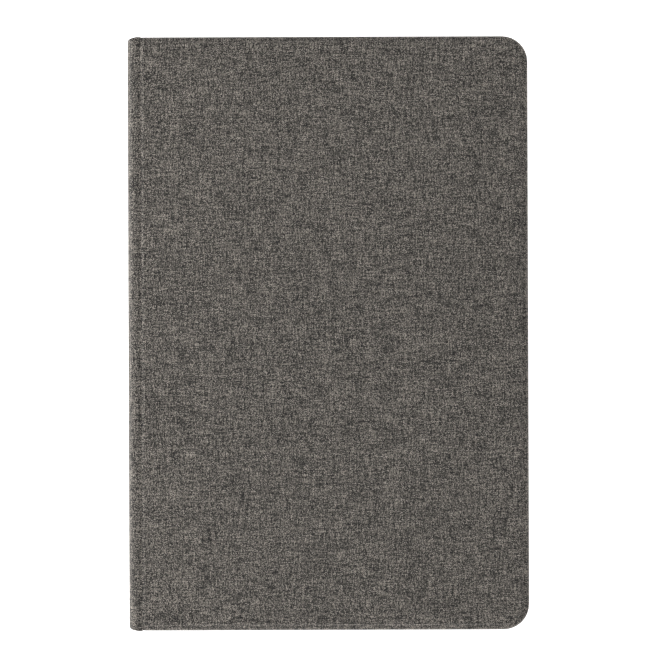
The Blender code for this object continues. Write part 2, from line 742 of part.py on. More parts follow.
def make_inner_pieces(base, axis):
    """Dome sheet under the keys, and the circuit board and battery beside the function row."""
    inner = inset(keyboard_shape(), KEYBOARD_WALL + TOUCH_GAP)
    low_depth = KEYBOARD_FLOOR + TOUCH_GAP
    high_z = keyboard_z(low_depth)
    sheet = inner._replace(low_x=FUNCTION_ROW_X + TOUCH_GAP)
    make_slab("dome_sheet", sheet, keyboard_z(low_depth + DOME_SHEET), high_z, RUBBER, axis)

    bay_high_x = FUNCTION_ROW_X - TOUCH_GAP
    circuit_end_y = inner.high_y - CIRCUIT_LENGTH
    battery = Shape(
        inner.low_x,
        bay_high_x,
        circuit_end_y - TOUCH_GAP - BATTERY_LENGTH,
        circuit_end_y - TOUCH_GAP,
        TOUCH_GAP,
        TOUCH_GAP,
    )
    make_slab("battery", battery, keyboard_z(BASE_TOP), high_z, BATTERY_FOIL, axis)

    circuit_z = keyboard_z(low_depth + CIRCUIT_BOARD)
    bm = bmesh.new()
    add_box(
        bm,
        (inner.low_x + KEYBOARD_CORNER, circuit_end_y, circuit_z),
        (bay_high_x, inner.high_y, high_z),
    )
    circuit = finish_object("circuit_board", bm, CIRCUIT_GREEN, axis)
    socket_low_x = bay_high_x - SOCKET_WIDTH
    outer_y = keyboard_shape().high_y
    bm = bmesh.new()
    add_box(
        bm,
        (socket_low_x, inner.high_y - SOCKET_LENGTH, circuit_z - SOCKET_RISE),
        (bay_high_x - TOUCH_GAP, outer_y - TOUCH_GAP, circuit_z + CIRCUIT_BOARD / 2),
    )
    combine(circuit, make_cutter("charging_socket", bm), "UNION")
    bm = bmesh.new()
    add_box(
        bm,
        (socket_low_x - TOUCH_GAP, inner.high_y - OVERRUN, keyboard_z(BASE_TOP + OVERRUN)),
        (bay_high_x, outer_y + OVERRUN, high_z),
    )
    combine(base, make_cutter("socket_opening", bm))


def build():
    clear_scene()
    spine_axis = make_axis("spine_axis", (CREASE_X, 0, 0))
    front_axis = make_axis("front_axis", (CREASE_X, 0, CASE_THICKNESS), spine_axis)
    kickstand_axis = make_axis("kickstand_axis", (KICKSTAND_X, 0, 0))

    rear_skin, rear_board, rear_lining = make_cover("rear", 0.0, 1)
    tray = make_tray()
    make_camera_opening((rear_skin, rear_board, rear_lining), tray)
    make_kickstand(rear_skin, rear_board, kickstand_axis)
    make_spine(spine_axis)
    front_board = make_cover("front", CASE_THICKNESS, -1, front_axis)[1]
    make_magnet(front_board, front_axis)
    make_keyboard(front_axis)


build()
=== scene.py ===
"""Looks of a folding keyboard case for a tablet: cloth over boards, a moulded tray and a keyboard."""

import json
import math
from collections import namedtuple

import bmesh
import bpy
import numpy as np
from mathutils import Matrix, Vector

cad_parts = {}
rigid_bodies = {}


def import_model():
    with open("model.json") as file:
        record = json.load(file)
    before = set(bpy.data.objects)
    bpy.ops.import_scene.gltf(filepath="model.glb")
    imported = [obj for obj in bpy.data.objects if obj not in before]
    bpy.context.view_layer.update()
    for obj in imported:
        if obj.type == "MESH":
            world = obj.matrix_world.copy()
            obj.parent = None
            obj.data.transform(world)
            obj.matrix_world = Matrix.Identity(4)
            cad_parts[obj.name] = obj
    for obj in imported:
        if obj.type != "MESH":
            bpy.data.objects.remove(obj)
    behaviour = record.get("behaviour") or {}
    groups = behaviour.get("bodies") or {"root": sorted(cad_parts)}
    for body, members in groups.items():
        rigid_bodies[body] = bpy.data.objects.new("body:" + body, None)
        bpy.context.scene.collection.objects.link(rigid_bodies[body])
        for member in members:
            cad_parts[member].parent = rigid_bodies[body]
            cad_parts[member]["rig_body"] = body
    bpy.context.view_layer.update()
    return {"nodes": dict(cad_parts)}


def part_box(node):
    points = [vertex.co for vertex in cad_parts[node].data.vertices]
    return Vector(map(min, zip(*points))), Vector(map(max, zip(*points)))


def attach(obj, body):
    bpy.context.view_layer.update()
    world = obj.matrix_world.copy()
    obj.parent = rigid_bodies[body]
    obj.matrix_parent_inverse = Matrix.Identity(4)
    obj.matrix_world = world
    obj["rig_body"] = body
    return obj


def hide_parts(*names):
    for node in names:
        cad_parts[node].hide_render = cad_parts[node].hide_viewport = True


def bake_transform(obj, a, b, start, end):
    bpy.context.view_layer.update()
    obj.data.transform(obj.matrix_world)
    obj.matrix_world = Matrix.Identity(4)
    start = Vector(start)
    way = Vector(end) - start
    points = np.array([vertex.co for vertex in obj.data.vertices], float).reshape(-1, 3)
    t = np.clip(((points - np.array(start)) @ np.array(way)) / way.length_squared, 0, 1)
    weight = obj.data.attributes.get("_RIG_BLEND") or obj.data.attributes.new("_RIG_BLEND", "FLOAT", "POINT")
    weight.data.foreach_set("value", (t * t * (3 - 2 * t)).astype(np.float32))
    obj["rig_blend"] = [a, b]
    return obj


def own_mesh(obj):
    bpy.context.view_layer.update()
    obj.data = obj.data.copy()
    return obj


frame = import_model()

MM = 0.001
Outline = namedtuple("Outline", "low_x high_x low_y high_y low_corner high_corner")


def outline_of(box, by, low_corner, high_corner):
    """A rounded rectangle round a box, larger than it by so much on every side."""
    low, high = box
    return Outline(low.x - by, high.x + by, low.y - by, high.y + by, low_corner, high_corner)


# Sizes of what shows, beyond those that the frame's own boxes give.
MERGE_WITHIN = 0.001 * MM
LEAST_RADIUS = 0.02 * MM
CREASE_GAP = 0.15 * MM
CREASE_CORNER = 0.5 * MM
COVER_CORNER = 11.0 * MM
ROLL_WIDTH = 1.0 * MM
ROLL_DROP = 1.6 * MM
BOARD_STEP = 1.9 * MM
FREE_BOARD_STEP = 2.6 * MM
BOARD_STEP_WIDTH = 1.0 * MM
BOARD_STEP_DROP = 0.5 * MM
SHELF_DROP = 0.15 * MM
RISER_START = 0.5 * MM
RISER_WIDTH = 1.5 * MM
RISER_DROP = 0.5 * MM
CLOTH_LIFT = 0.035 * MM
LIFT_FROM = 5.0 * MM
LIFT_WIDTH = 8.0 * MM
TURN_IN = 6.0 * MM
TURN_IN_THICKNESS = 0.6 * MM
RIM_WALL = 1.2 * MM
TRAY_FLOOR = 1.2 * MM
DOT_MARGIN = 6.0 * MM
DOT_PITCH = 6.0 * MM
DOT_CLEAR = 2.0 * MM
DOT_HALF = (0.6 * MM, 0.6 * MM, 0.16 * MM)
SOCKET_X = (-31.4 * MM, -23.5 * MM)
SOCKET_DEPTH = 7.5 * MM
CLOTH = 0.8 * MM
LINING_BORDER = 6.3 * MM
BACKING_IN = 0.5 * MM
BACKING = 0.14 * MM
HINGE_DEPTHS = (0.86 * MM, 1.05 * MM)
HINGE_REACH = 4.0 * MM
HINGE_BEND = 0.6 * MM
HINGE_SHORT = 2.0 * MM
SPINE_DROP = 0.38 * MM
SPINE_SQUARENESS = 0.52
SPINE_EXTRA = 0.6 * MM
SPINE_TAPER = 1.2 * MM
CLOTH_LEAD = 1.05 * MM
SPINE_UNEVEN = 0.03 * MM
SPINE_END_WIDTH = 1.4 * MM
SPINE_POINTS = 44
STRIP_POINTS = 32
STRIP_DEPTHS = (1.1 * MM, 1.85 * MM)
STRIP_LEAD = 2.4 * MM
LINING_DEPTHS = (2.2 * MM, 2.7 * MM)
LINING_LEAD = 0.65 * MM
KEY_SPACING = 2.6 * MM
KEY_FOOT = 0.8 * MM
KEY_FOOT_DROP = 0.3 * MM
WEB_HALF = 3.0 * MM
WEB_SHORT = 0.6 * MM
KEY_CORNER = 1.4 * MM
KEY_EDGE = 0.65 * MM
KEY_DISH = 0.22 * MM
LEGEND_RISE = 0.015 * MM
KEY_POINT_SPACING = 3.4 * MM
LETTER = 3.4 * MM
WORD = 2.1 * MM
ARROW = 2.8 * MM
SHIFTED_APART = 2.6 * MM
LEGEND_HALF = 0.05 * MM

LABELS = {
    "function_key_row": ["esc"] + [f"F{number}" for number in range(1, 13)],
    "number_key_row": list("`1234567890-="),
    "modifier_keys": ["fn", "ctrl", "alt", "menu"],
    "arrow_keys": ["left", "up", "down", "right"],
    "key_tab": ["tab"],
    "key_backspace": ["back"],
    "key_caps_lock": ["caps"],
    "key_enter": ["enter"],
    "key_left_shift": ["shift"],
    "key_right_shift": ["shift"],
    "key_comma": [","],
    "key_period": ["."],
    "key_space": [""],
}
SHIFTED = dict(zip("`1234567890-=,.", "~!@#$%^&*()_+<>"))
ARROW_TURNS = {"left": 90, "up": 0, "down": 180, "right": -90}


# Camera: straight above the closed case, with the spine at the left of the picture.
SENSOR_MM = 36.0
FOCAL_MM = 137.9
CAMERA_PLACE = (0.6 * MM, 1.45 * MM, 1.103)
CAMERA_TURN = math.radians(-0.2)


def make_camera():
    data = bpy.data.cameras.new("camera")
    data.sensor_width = SENSOR_MM
    data.lens = FOCAL_MM
    camera = bpy.data.objects.new("camera", data)
    bpy.context.scene.collection.objects.link(camera)
    camera.location = CAMERA_PLACE
    camera.rotation_euler = (0.0, 0.0, CAMERA_TURN)
    bpy.context.scene.camera = camera


make_camera()


# Materials


def colour(text):
    """A linear colour from an sRGB hex value."""
    parts = [int(text[at : at + 2], 16) / 255 for at in (0, 2, 4)]
    return [part / 12.92 if part <= 0.04045 else ((part + 0.055) / 1.055) ** 2.4 for part in parts] + [1.0]


def add(tree, kind, settings=None, links=None):
    """Adds a node. Settings go to its properties, or to inputs by name or number; links feed its inputs."""
    node = tree.nodes.new(kind)
    for key, value in (settings or {}).items():
        if isinstance(key, str) and hasattr(node, key):
            setattr(node, key, value)
        else:
            node.inputs[key].default_value = value
    for key, source in (links or {}).items():
        socket = source if isinstance(source, bpy.types.NodeSocket) else source.outputs[0]
        tree.links.new(socket, node.inputs[key])
    return node


def new_material(name, settings):
    """A material with one Principled shader. Returns it, its tree and the shader."""
    material = bpy.data.materials.new(name)
    material.use_nodes = True
    tree = material.node_tree
    tree.nodes.clear()
    shader = add(tree, "ShaderNodeBsdfPrincipled", settings)
    add(tree, "ShaderNodeOutputMaterial", links={"Surface": shader})
    return material, tree, shader


def ramp(tree, source, stops):
    """A colour ramp through (place, hex colour) stops."""
    node = add(tree, "ShaderNodeValToRGB", links={"Fac": source})
    elements = node.color_ramp.elements
    while len(elements) < len(stops):
        elements.new(0.5)
    for element, (place, text) in zip(elements, stops):
        element.position = place
        element.color = colour(text)
    return node


# Such threads are really about 0.3 mm apart. They are drawn a little coarser, so that they still show.
WARP_PITCH_MM = 0.36
WEFT_PITCH_MM = 0.4
# Streaks of tone: their length in mm and their share of the tone, along a thread and along its fibres.
THREAD_STREAKS = ((0.3, 0.5), (7.0, 0.26))
FIBRE_STREAK = (0.8, 0.24)
FIBRE_WIDTH_MM = 0.1
MOTTLE_MM = 26.0
MOTTLE_SHARE = 0.025
THREAD_WANDER_MM = 0.45
WEFT_SEED = 500.0
CROWN_MM = 0.12
HEATHER_TONES = ((0.0, "010101"), (0.38, "131210"), (0.52, "43413d"), (0.66, "78726b"), (1.0, "c4bbb0"))


def make_heather_cloth():
    """Plain-woven heather polyester, from threads of dark and light fibres mixed.

    It gives the eye short dark and pale streaks both ways, a fine grain of round threads and no shine. Shade
    is painted into the colour between the threads, and a highlight on their crowns.
    """
    settings = {"Roughness": 0.85, "IOR": 1.5, "Sheen Weight": 0.04, "Sheen Roughness": 0.5}
    material, tree, shader = new_material("plain_woven_heather_polyester", settings)
    place = add(tree, "ShaderNodeAttribute", {"attribute_name": "cloth"}).outputs["Vector"]
    in_mm = add(tree, "ShaderNodeVectorMath", {"operation": "SCALE", "Scale": 1000.0}, {0: place})
    wander = add(tree, "ShaderNodeTexNoise", {"Scale": 0.13, "Detail": 2.0}, {"Vector": in_mm})
    shift = add(
        tree,
        "ShaderNodeVectorMath",
        {
            "operation": "MULTIPLY_ADD",
            1: (2 * THREAD_WANDER_MM, 2 * THREAD_WANDER_MM, 0.0),
            2: (-THREAD_WANDER_MM, -THREAD_WANDER_MM, 0.0),
        },
        {0: wander.outputs["Color"]},
    )
    moved = add(tree, "ShaderNodeVectorMath", {"operation": "ADD"}, {0: in_mm, 1: shift})
    threads = add(
        tree,
        "ShaderNodeVectorMath",
        {"operation": "MULTIPLY", 1: (1 / WARP_PITCH_MM, 1 / WEFT_PITCH_MM, 0.0)},
        {0: moved},
    )
    split = add(tree, "ShaderNodeSeparateXYZ", links={0: threads})
    across, along = split.outputs["X"], split.outputs["Y"]
    column = add(tree, "ShaderNodeMath", {"operation": "FLOOR"}, {0: across})
    row = add(tree, "ShaderNodeMath", {"operation": "FLOOR"}, {0: along})
    total = add(tree, "ShaderNodeMath", {"operation": "ADD"}, {0: column, 1: row})
    weft_up = add(tree, "ShaderNodeMath", {"operation": "FLOORED_MODULO", 1: 2.0}, {0: total})

    tones = []
    rounds = []
    warp = (column, along, across, WARP_PITCH_MM, WEFT_PITCH_MM, 0.0)
    weft = (row, across, along, WEFT_PITCH_MM, WARP_PITCH_MM, WEFT_SEED)
    for thread, run, other, pitch, run_pitch, seed in (warp, weft):
        own = add(tree, "ShaderNodeMath", {"operation": "MULTIPLY_ADD", 1: 13.7, 2: seed}, {0: thread})
        across_fibres = add(
            tree, "ShaderNodeMath", {"operation": "MULTIPLY", 1: pitch / FIBRE_WIDTH_MM}, {0: other}
        )
        streaks = [(own, *streak) for streak in THREAD_STREAKS] + [(across_fibres, *FIBRE_STREAK)]
        tone = None
        for start, length_mm, share in streaks:
            ratio = run_pitch / length_mm
            reach = add(tree, "ShaderNodeMath", {"operation": "MULTIPLY", 1: ratio}, {0: run})
            spot = add(tree, "ShaderNodeCombineXYZ", {2: seed + length_mm}, {0: start, 1: reach})
            streak = add(tree, "ShaderNodeTexNoise", {"Scale": 1.0, "Detail": 0.0}, {"Vector": spot})
            sums = {"operation": "MULTIPLY_ADD", 1: share, 2: 0.0}
            summed = add(tree, "ShaderNodeMath", sums, {0: streak})
            if tone:
                tree.links.new(tone.outputs[0], summed.inputs[2])
            tone = summed
        tones.append(tone)
        crown = []
        for coordinate in (other, run):
            inside = add(tree, "ShaderNodeMath", {"operation": "FRACT"}, {0: coordinate})
            turn = add(tree, "ShaderNodeMath", {"operation": "MULTIPLY", 1: math.pi}, {0: inside})
            crown.append(add(tree, "ShaderNodeMath", {"operation": "SINE"}, {0: turn}))
        halved = {"operation": "MULTIPLY_ADD", 1: 0.5, 2: 0.5}
        arch_along = add(tree, "ShaderNodeMath", halved, {0: crown[1]})
        rounds.append(add(tree, "ShaderNodeMath", {"operation": "MULTIPLY"}, {0: crown[0], 1: arch_along}))
    tone = add(tree, "ShaderNodeMix", {"data_type": "FLOAT"}, {0: weft_up, 2: tones[0], 3: tones[1]})
    lift = add(tree, "ShaderNodeMix", {"data_type": "FLOAT"}, {0: weft_up, 2: rounds[0], 3: rounds[1]})
    mottle = add(
        tree,
        "ShaderNodeTexNoise",
        {"Scale": 1 / MOTTLE_MM, "Detail": 3.0, "Roughness": 0.55},
        {"Vector": in_mm},
    )
    sums = {"operation": "MULTIPLY_ADD", 1: MOTTLE_SHARE}
    mixed = add(tree, "ShaderNodeMath", sums, {0: mottle, 2: tone})
    spread = add(tree, "ShaderNodeMapRange", {"From Min": 0.36, "From Max": 0.66}, {"Value": mixed})
    heather = ramp(tree, spread, HEATHER_TONES)
    # Painted shade and highlight: the colour is darkened where the threads dip between each other and
    # lightened on their crowns.
    shade = add(
        tree, "ShaderNodeMapRange", {"From Max": 0.9, "To Min": 0.5, "To Max": 1.12}, {"Value": lift}
    )
    shaded = add(
        tree,
        "ShaderNodeMix",
        {"data_type": "RGBA", "blend_type": "MULTIPLY", "Factor": 1.0},
        {6: heather, 7: shade},
    )
    tree.links.new(shaded.outputs[2], shader.inputs["Base Color"])
    bump = add(tree, "ShaderNodeBump", {"Strength": 0.6, "Distance": CROWN_MM * MM}, {"Height": lift})
    tree.links.new(bump.outputs[0], shader.inputs["Normal"])
    return material


PATCH_SCALE = 45.0
WEAR_SCALE = 160.0
GLOSS_RANGE = 0.06


def grained(name, low, high, grain_mm, settings, depth_mm=0.02, wear=None, stretch=(1.0, 1.0, 1.0)):
    """A material whose colour varies between two hex colours, with a grain of one size and slight patches.

    wear is a hex colour for the pale or polished marks that handling leaves. stretch lengthens the grain.
    """
    material, tree, shader = new_material(name, settings)
    place = add(tree, "ShaderNodeTexCoord").outputs["Object"]
    run = add(
        tree,
        "ShaderNodeVectorMath",
        {"operation": "MULTIPLY", 1: [1000.0 / (grain_mm * part) for part in stretch]},
        {0: place},
    )
    rough_grain = {"Scale": 1.0, "Detail": 4.0, "Roughness": 0.6}
    grain = add(tree, "ShaderNodeTexNoise", rough_grain, {"Vector": run})
    patch = add(tree, "ShaderNodeTexNoise", {"Scale": PATCH_SCALE, "Detail": 3.0}, {"Vector": place})
    amount = add(tree, "ShaderNodeMath", {"operation": "MULTIPLY_ADD", 1: 0.45}, {0: patch, 2: grain})
    spread = add(tree, "ShaderNodeMapRange", {"From Min": 0.5, "From Max": 0.95}, {"Value": amount})
    tinted = ramp(tree, spread, [(0.0, low), (1.0, high)])
    skin = tinted.outputs[0]
    if wear:
        fine = {"Scale": WEAR_SCALE, "Detail": 6.0, "Roughness": 0.7}
        scuff = add(tree, "ShaderNodeTexNoise", fine, {"Vector": place})
        marks = add(
            tree,
            "ShaderNodeMapRange",
            {"From Min": 0.60, "From Max": 0.78, "To Max": 0.35},
            {"Value": scuff},
        )
        worn = add(tree, "ShaderNodeMix", {"data_type": "RGBA", 7: colour(wear)}, {0: marks, 6: skin})
        skin = worn.outputs[2]
    tree.links.new(skin, shader.inputs["Base Color"])
    rough = shader.inputs["Roughness"].default_value
    limits = {"To Min": rough - GLOSS_RANGE, "To Max": rough + GLOSS_RANGE}
    gloss = add(tree, "ShaderNodeMapRange", limits, {"Value": patch})
    tree.links.new(gloss.outputs[0], shader.inputs["Roughness"])
    bump = add(tree, "ShaderNodeBump", {"Strength": 0.5, "Distance": depth_mm * MM}, {"Height": grain})
    tree.links.new(bump.outputs[0], shader.inputs["Normal"])
    return material


# Each finish: name, two tones, the grain's width in mm, the shader's settings and the grain's depth in mm.
# Moulded and rubber faces really have a grain about 0.05 to 0.1 mm wide, so theirs is drawn coarser, to show.
HEATHER = make_heather_cloth()
# A brushed knit: soft and dark, with a faint pale bloom where it is seen at a low angle.
MICROFIBRE = grained(
    "brushed_polyester_microfibre",
    "27272a",
    "3b3b3e",
    0.45,
    {"Roughness": 0.95, "Sheen Weight": 0.35, "Sheen Roughness": 0.4},
    0.08,
    stretch=(1.0, 2.2, 1.0),
)
# Pulp of waste paper, pressed: a flat grey-brown with flecks and no shine.
GREYBOARD = grained("pressed_recycled_greyboard", "7d776d", "a39c90", 0.7, {"Roughness": 0.92}, 0.05)
# Moulded in a blasted tool: an even, slightly rubbery black with paler rubbed spots.
TPU = grained(
    "injection_moulded_matt_tpu",
    "202124",
    "2b2c2f",
    0.22,
    {"Roughness": 0.55, "IOR": 1.5},
    0.015,
    wear="45464a",
)
# Drawn through a slot: a satin black with faint lines along its length.
STRIP = grained(
    "extruded_polypropylene", "26272a", "303135", 0.3, {"Roughness": 0.5, "IOR": 1.49}, stretch=(1, 20, 1)
)
# Moulded in a spark-eroded tool: a dry, fine texture that spreads the light over the housing.
HOUSING = grained(
    "spark_textured_abs_housing",
    "3a3b3e",
    "46474b",
    0.28,
    {"Roughness": 0.6, "IOR": 1.54, "Specular IOR Level": 0.3},
    0.02,
    wear="5a5b60",
)
# The same texture, finer and darker, on keys that fingers rub paler.
KEY = grained(
    "spark_textured_abs_keycap",
    "191a1c",
    "232427",
    0.20,
    {"Roughness": 0.55, "IOR": 1.54, "Specular IOR Level": 0.3},
    0.012,
    wear="34353a",
)
# Moulded in a polished tool: small controls that catch a clear highlight.
CONTROL = grained("polished_moulded_abs", "1b1c1f", "25262a", 0.25, {"Roughness": 0.32, "IOR": 1.54}, 0.006)
# Ink pressed on with a pad: a flat, pale grey, duller than the key round it.
INK = grained("pad_printed_ink", "b9babc", "d2d3d5", 0.12, {"Roughness": 0.6}, 0.004)
# Rubber pressed into a sheet: mid grey, dull and a little waxy.
SILICONE = grained(
    "pressed_silicone_rubber", "6f7176", "85878c", 0.35, {"Roughness": 0.6, "IOR": 1.41}, 0.01
)
# Rubber stamped from a sheet: nearly black, and dull.
FOOT = grained("die_cut_rubber_foot", "1d1d1f", "2a2a2c", 0.3, {"Roughness": 0.75, "IOR": 1.52}, 0.02)
# A pouch of laminated foil: a soft and uneven metal sheen.
FOIL = grained(
    "laminated_aluminium_pouch", "a9abae", "c4c6c9", 0.9, {"Roughness": 0.36, "Metallic": 1.0}, 0.03
)
# Glass-fibre board under lacquer: a deep green with some gloss.
CIRCUIT = grained(
    "solder_masked_epoxy_glass", "12492e", "1c6440", 0.5, {"Roughness": 0.4, "IOR": 1.55}, 0.01
)
# Steel, drawn and plated: a bright, warm grey with fine lines along it.
NICKEL = grained(
    "nickel_plated_steel",
    "b4b1a9",
    "cfccc4",
    0.6,
    {"Roughness": 0.3, "Metallic": 1.0},
    0.004,
    stretch=(1, 12, 1),
)
# Milky plastic that spreads the light behind it: a pale, satin green-white.
LENS = grained("diffusing_polycarbonate", "b5c0b8", "cfd8d1", 0.3, {"Roughness": 0.35, "IOR": 1.58}, 0.004)


# Mesh tools


def finish_piece(name, mesh, materials, body, smooth=35.0):
    """Shades a mesh smooth up to an angle, gives it its materials and makes it ride on a body."""
    for material in materials:
        mesh.materials.append(material)
    mesh.shade_smooth()
    mesh.set_sharp_from_angle(angle=math.radians(smooth))
    piece = bpy.data.objects.new(name, mesh)
    bpy.context.scene.collection.objects.link(piece)
    if body:
        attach(piece, body)
    return piece


def loft(name, rings, merge=True):
    """A closed mesh through rings of points, capped at both ends. Unmerged points keep the rings' order."""
    count = len(rings[0])
    last = (len(rings) - 1) * count
    faces = []
    for low in range(0, last, count):
        for at in range(count):
            after = (at + 1) % count
            faces.append((low + at, low + after, low + count + after, low + count + at))
    faces += [tuple(range(count)), tuple(range(last, last + count))]
    mesh = bpy.data.meshes.new(name)
    mesh.from_pydata(np.concatenate(rings).tolist(), [], faces)
    turn_outward(mesh, merge)
    return mesh


def turn_outward(mesh, merge=True):
    """Points a closed mesh's faces outwards, after its doubled points are merged."""
    bm = bmesh.new()
    bm.from_mesh(mesh)
    if merge:
        bmesh.ops.remove_doubles(bm, verts=bm.verts, dist=MERGE_WITHIN)
    bmesh.ops.recalc_face_normals(bm, faces=bm.faces)
    bm.to_mesh(mesh)
    bm.free()


def joined(name, meshes):
    """One mesh from several, keeping each one's material numbers."""
    bm = bmesh.new()
    for mesh in meshes:
        bm.from_mesh(mesh)
        bpy.data.meshes.remove(mesh)
    mesh = bpy.data.meshes.new(name)
    bm.to_mesh(mesh)
    bm.free()
    return mesh


def round_ring(outline, step_in, spacing, arc_steps=8, low_step=None):
    """Points round a rounded rectangle that is moved in by step_in, and by low_step on its low X side.

    The number of points depends on the outline and spacing only, so rings of one outline can be lofted.
    """
    low_step = step_in if low_step is None else low_step
    low_x = outline.low_x + low_step
    high_x = outline.high_x - step_in
    low_y = outline.low_y + step_in
    high_y = outline.high_y - step_in
    low_radius = max(outline.low_corner - step_in, LEAST_RADIUS)
    high_radius = max(outline.high_corner - step_in, LEAST_RADIUS)
    corners = (
        (high_x - high_radius, low_y + high_radius, high_radius, -90),
        (high_x - high_radius, high_y - high_radius, high_radius, 0),
        (low_x + low_radius, high_y - low_radius, low_radius, 90),
        (low_x + low_radius, low_y + low_radius, low_radius, 180),
    )
    length = outline.high_y - outline.low_y
    width = outline.high_x - outline.low_x
    counts = [max(1, round(side / spacing)) for side in (length, width, length, width)]
    arcs = []
    for x, y, radius, start in corners:
        angles = np.radians(start + 90.0 * np.arange(arc_steps + 1) / arc_steps)
        arcs.append(np.stack([x + radius * np.cos(angles), y + radius * np.sin(angles)], axis=1))
    points = []
    for at, arc in enumerate(arcs):
        points.append(arc)
        here = arc[-1]
        there = arcs[(at + 1) % 4][0]
        shares = np.arange(1, counts[at])[:, None] / counts[at]
        points.append(here + (there - here) * shares)
    return np.concatenate(points)


def with_z(points, z):
    """Points in the plane, given one height or a height each."""
    return np.column_stack([points, np.broadcast_to(z, len(points))])


def wobble(x, y, height):
    """A slow unevenness of that height, the same each time."""
    a, b = x / MM, y / MM
    waves = np.sin(a / 9.0 + 1.3) * np.sin(b / 13.0 + 0.4)
    waves = waves + 0.5 * np.sin(a / 4.3 + b / 6.1 + 2.0) + 0.35 * np.sin(a / 3.1 - b / 4.7)
    return height * waves / 1.85


def cut(piece, cutters):
    """Cuts closed meshes out of a piece and leaves it a plain mesh."""
    for mesh in cutters:
        tool = bpy.data.objects.new("cutter", mesh)
        bpy.context.scene.collection.objects.link(tool)
        modifier = piece.modifiers.new("cut", "BOOLEAN")
        modifier.object = tool
        modifier.solver = "EXACT"
        modifier.operation = "DIFFERENCE"
        freeze(piece)
        bpy.data.objects.remove(tool, do_unlink=True)


def freeze(piece):
    """Turns the evaluated object into its own plain mesh."""
    bpy.context.view_layer.update()
    view = bpy.context.evaluated_depsgraph_get()
    mesh = bpy.data.meshes.new_from_object(piece.evaluated_get(view), depsgraph=view)
    piece.modifiers.clear()
    piece.data = mesh


def write_cloth(piece, places):
    """Stores where each point lies on the flat cloth, in metres, for the weave to follow."""
    attributes = piece.data.attributes
    layer = attributes.get("cloth") or attributes.new("cloth", "FLOAT_VECTOR", "POINT")
    layer.data.foreach_set("vector", np.asarray(places, np.float32).ravel())


def points_of(mesh):
    """A mesh's points, one to a row."""
    points = np.zeros(len(mesh.vertices) * 3)
    mesh.vertices.foreach_get("co", points)
    return points.reshape(-1, 3)


def body_of_node(node):
    return frame["nodes"][node]["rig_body"]


def stand_for(piece, node):
    """The piece takes the place of a CAD node."""
    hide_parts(node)
    return piece


def refined(node, name, finish, softness, segments=2):
    """A copy of a CAD node with its sharp edges softened, as moulding leaves them."""
    mesh = frame["nodes"][node].data.copy()
    mesh.name = name
    mesh.materials.clear()
    bm = bmesh.new()
    bm.from_mesh(mesh)
    bmesh.ops.remove_doubles(bm, verts=bm.verts, dist=0.002 * MM)
    bmesh.ops.dissolve_limit(bm, angle_limit=math.radians(1.0), verts=bm.verts, edges=bm.edges)
    bm.to_mesh(mesh)
    bm.free()
    piece = finish_piece(name, mesh, [finish], body_of_node(node))
    modifier = piece.modifiers.new("soft_edges", "BEVEL")
    modifier.width = softness
    modifier.segments = segments
    modifier.limit_method = "ANGLE"
    modifier.angle_limit = math.radians(40)
    modifier.use_clamp_overlap = True
    freeze(piece)
    piece.data.shade_smooth()
    piece.data.set_sharp_from_angle(angle=math.radians(35))
    modifier = piece.modifiers.new("flat_faces", "WEIGHTED_NORMAL")
    modifier.keep_sharp = True
    freeze(piece)
    return stand_for(piece, node)


# Cloth covers

FRONT_LOW, FRONT_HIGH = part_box("front_skin")
REAR_LOW, REAR_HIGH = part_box("rear_skin")
SPINE_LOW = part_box("spine_skin")[0]
CREASE_X = FRONT_LOW.x - CREASE_GAP
CASE_Z = FRONT_HIGH.z
COVER = REAR_HIGH.z - REAR_LOW.z
COVER_OUTLINE = outline_of((FRONT_LOW, FRONT_HIGH), 0.0, CREASE_CORNER, COVER_CORNER)
# How far in from the outline each ring of the outer cloth lies, over its face and then over its edge.
FACE_STEPS_MM = (*range(78, 22, -4), 23, 20, 17.5, 15, 13, 11, 9.5, 8, 7, 6.2)
EDGE_STEPS_MM = tuple(
    [5.6, 5.0, 4.5, 4.1, 3.8]
    + [3.55 - 0.2 * step for step in range(12)]
    + [1.15, 0.95, 0.75, 0.55, 0.38, 0.22, 0.1, 0.03, 0.0]
)


def roll(distance, width=ROLL_WIDTH, drop=ROLL_DROP):
    """How far cloth has dropped over a rounded edge, at a distance from the outline."""
    share = np.clip((width - distance) / width, 0.0, 1.0)
    return drop * (1 - np.sqrt(1 - share**2))


def smooth_step(value):
    """From 0 to 1 as value does, level at both ends."""
    value = np.clip(value, 0.0, 1.0)
    return value * value * (3 - 2 * value)


def face_depth(points, distance):
    """Depth of a cover's outer cloth below its highest plane: its edges, crease and unevenness."""
    x, y = points[:, 0], points[:, 1]
    ends = np.minimum(COVER_OUTLINE.high_y - y, y - COVER_OUTLINE.low_y)
    free = np.minimum(COVER_OUTLINE.high_x - x, ends)
    reach = np.where(np.abs(free - distance) < 0.5 * MM, distance, free)
    from_crease = x - COVER_OUTLINE.low_x
    corner = (x > COVER_OUTLINE.high_x - COVER_CORNER) & (from_crease > COVER_CORNER)
    reach = np.where(corner, distance, reach)
    inside = np.clip((reach - LIFT_FROM) / LIFT_WIDTH, 0.0, 1.0)
    uneven = wobble(x, y, CLOTH_LIFT) * inside
    towards_free = np.clip((x - COVER_OUTLINE.high_x + COVER_CORNER) / COVER_CORNER, 0.0, 1.0)
    step_at = BOARD_STEP + (FREE_BOARD_STEP - BOARD_STEP) * towards_free
    step = BOARD_STEP_DROP * (1 - smooth_step((reach - step_at) / BOARD_STEP_WIDTH))
    shelf = SHELF_DROP * (1 - np.clip(reach / step_at, 0.0, 1.0))
    riser = RISER_DROP * (1 - smooth_step((from_crease - RISER_START) / RISER_WIDTH))
    return np.maximum(CLOTH_LIFT + uneven, 0.0) + step + shelf + roll(reach) + riser


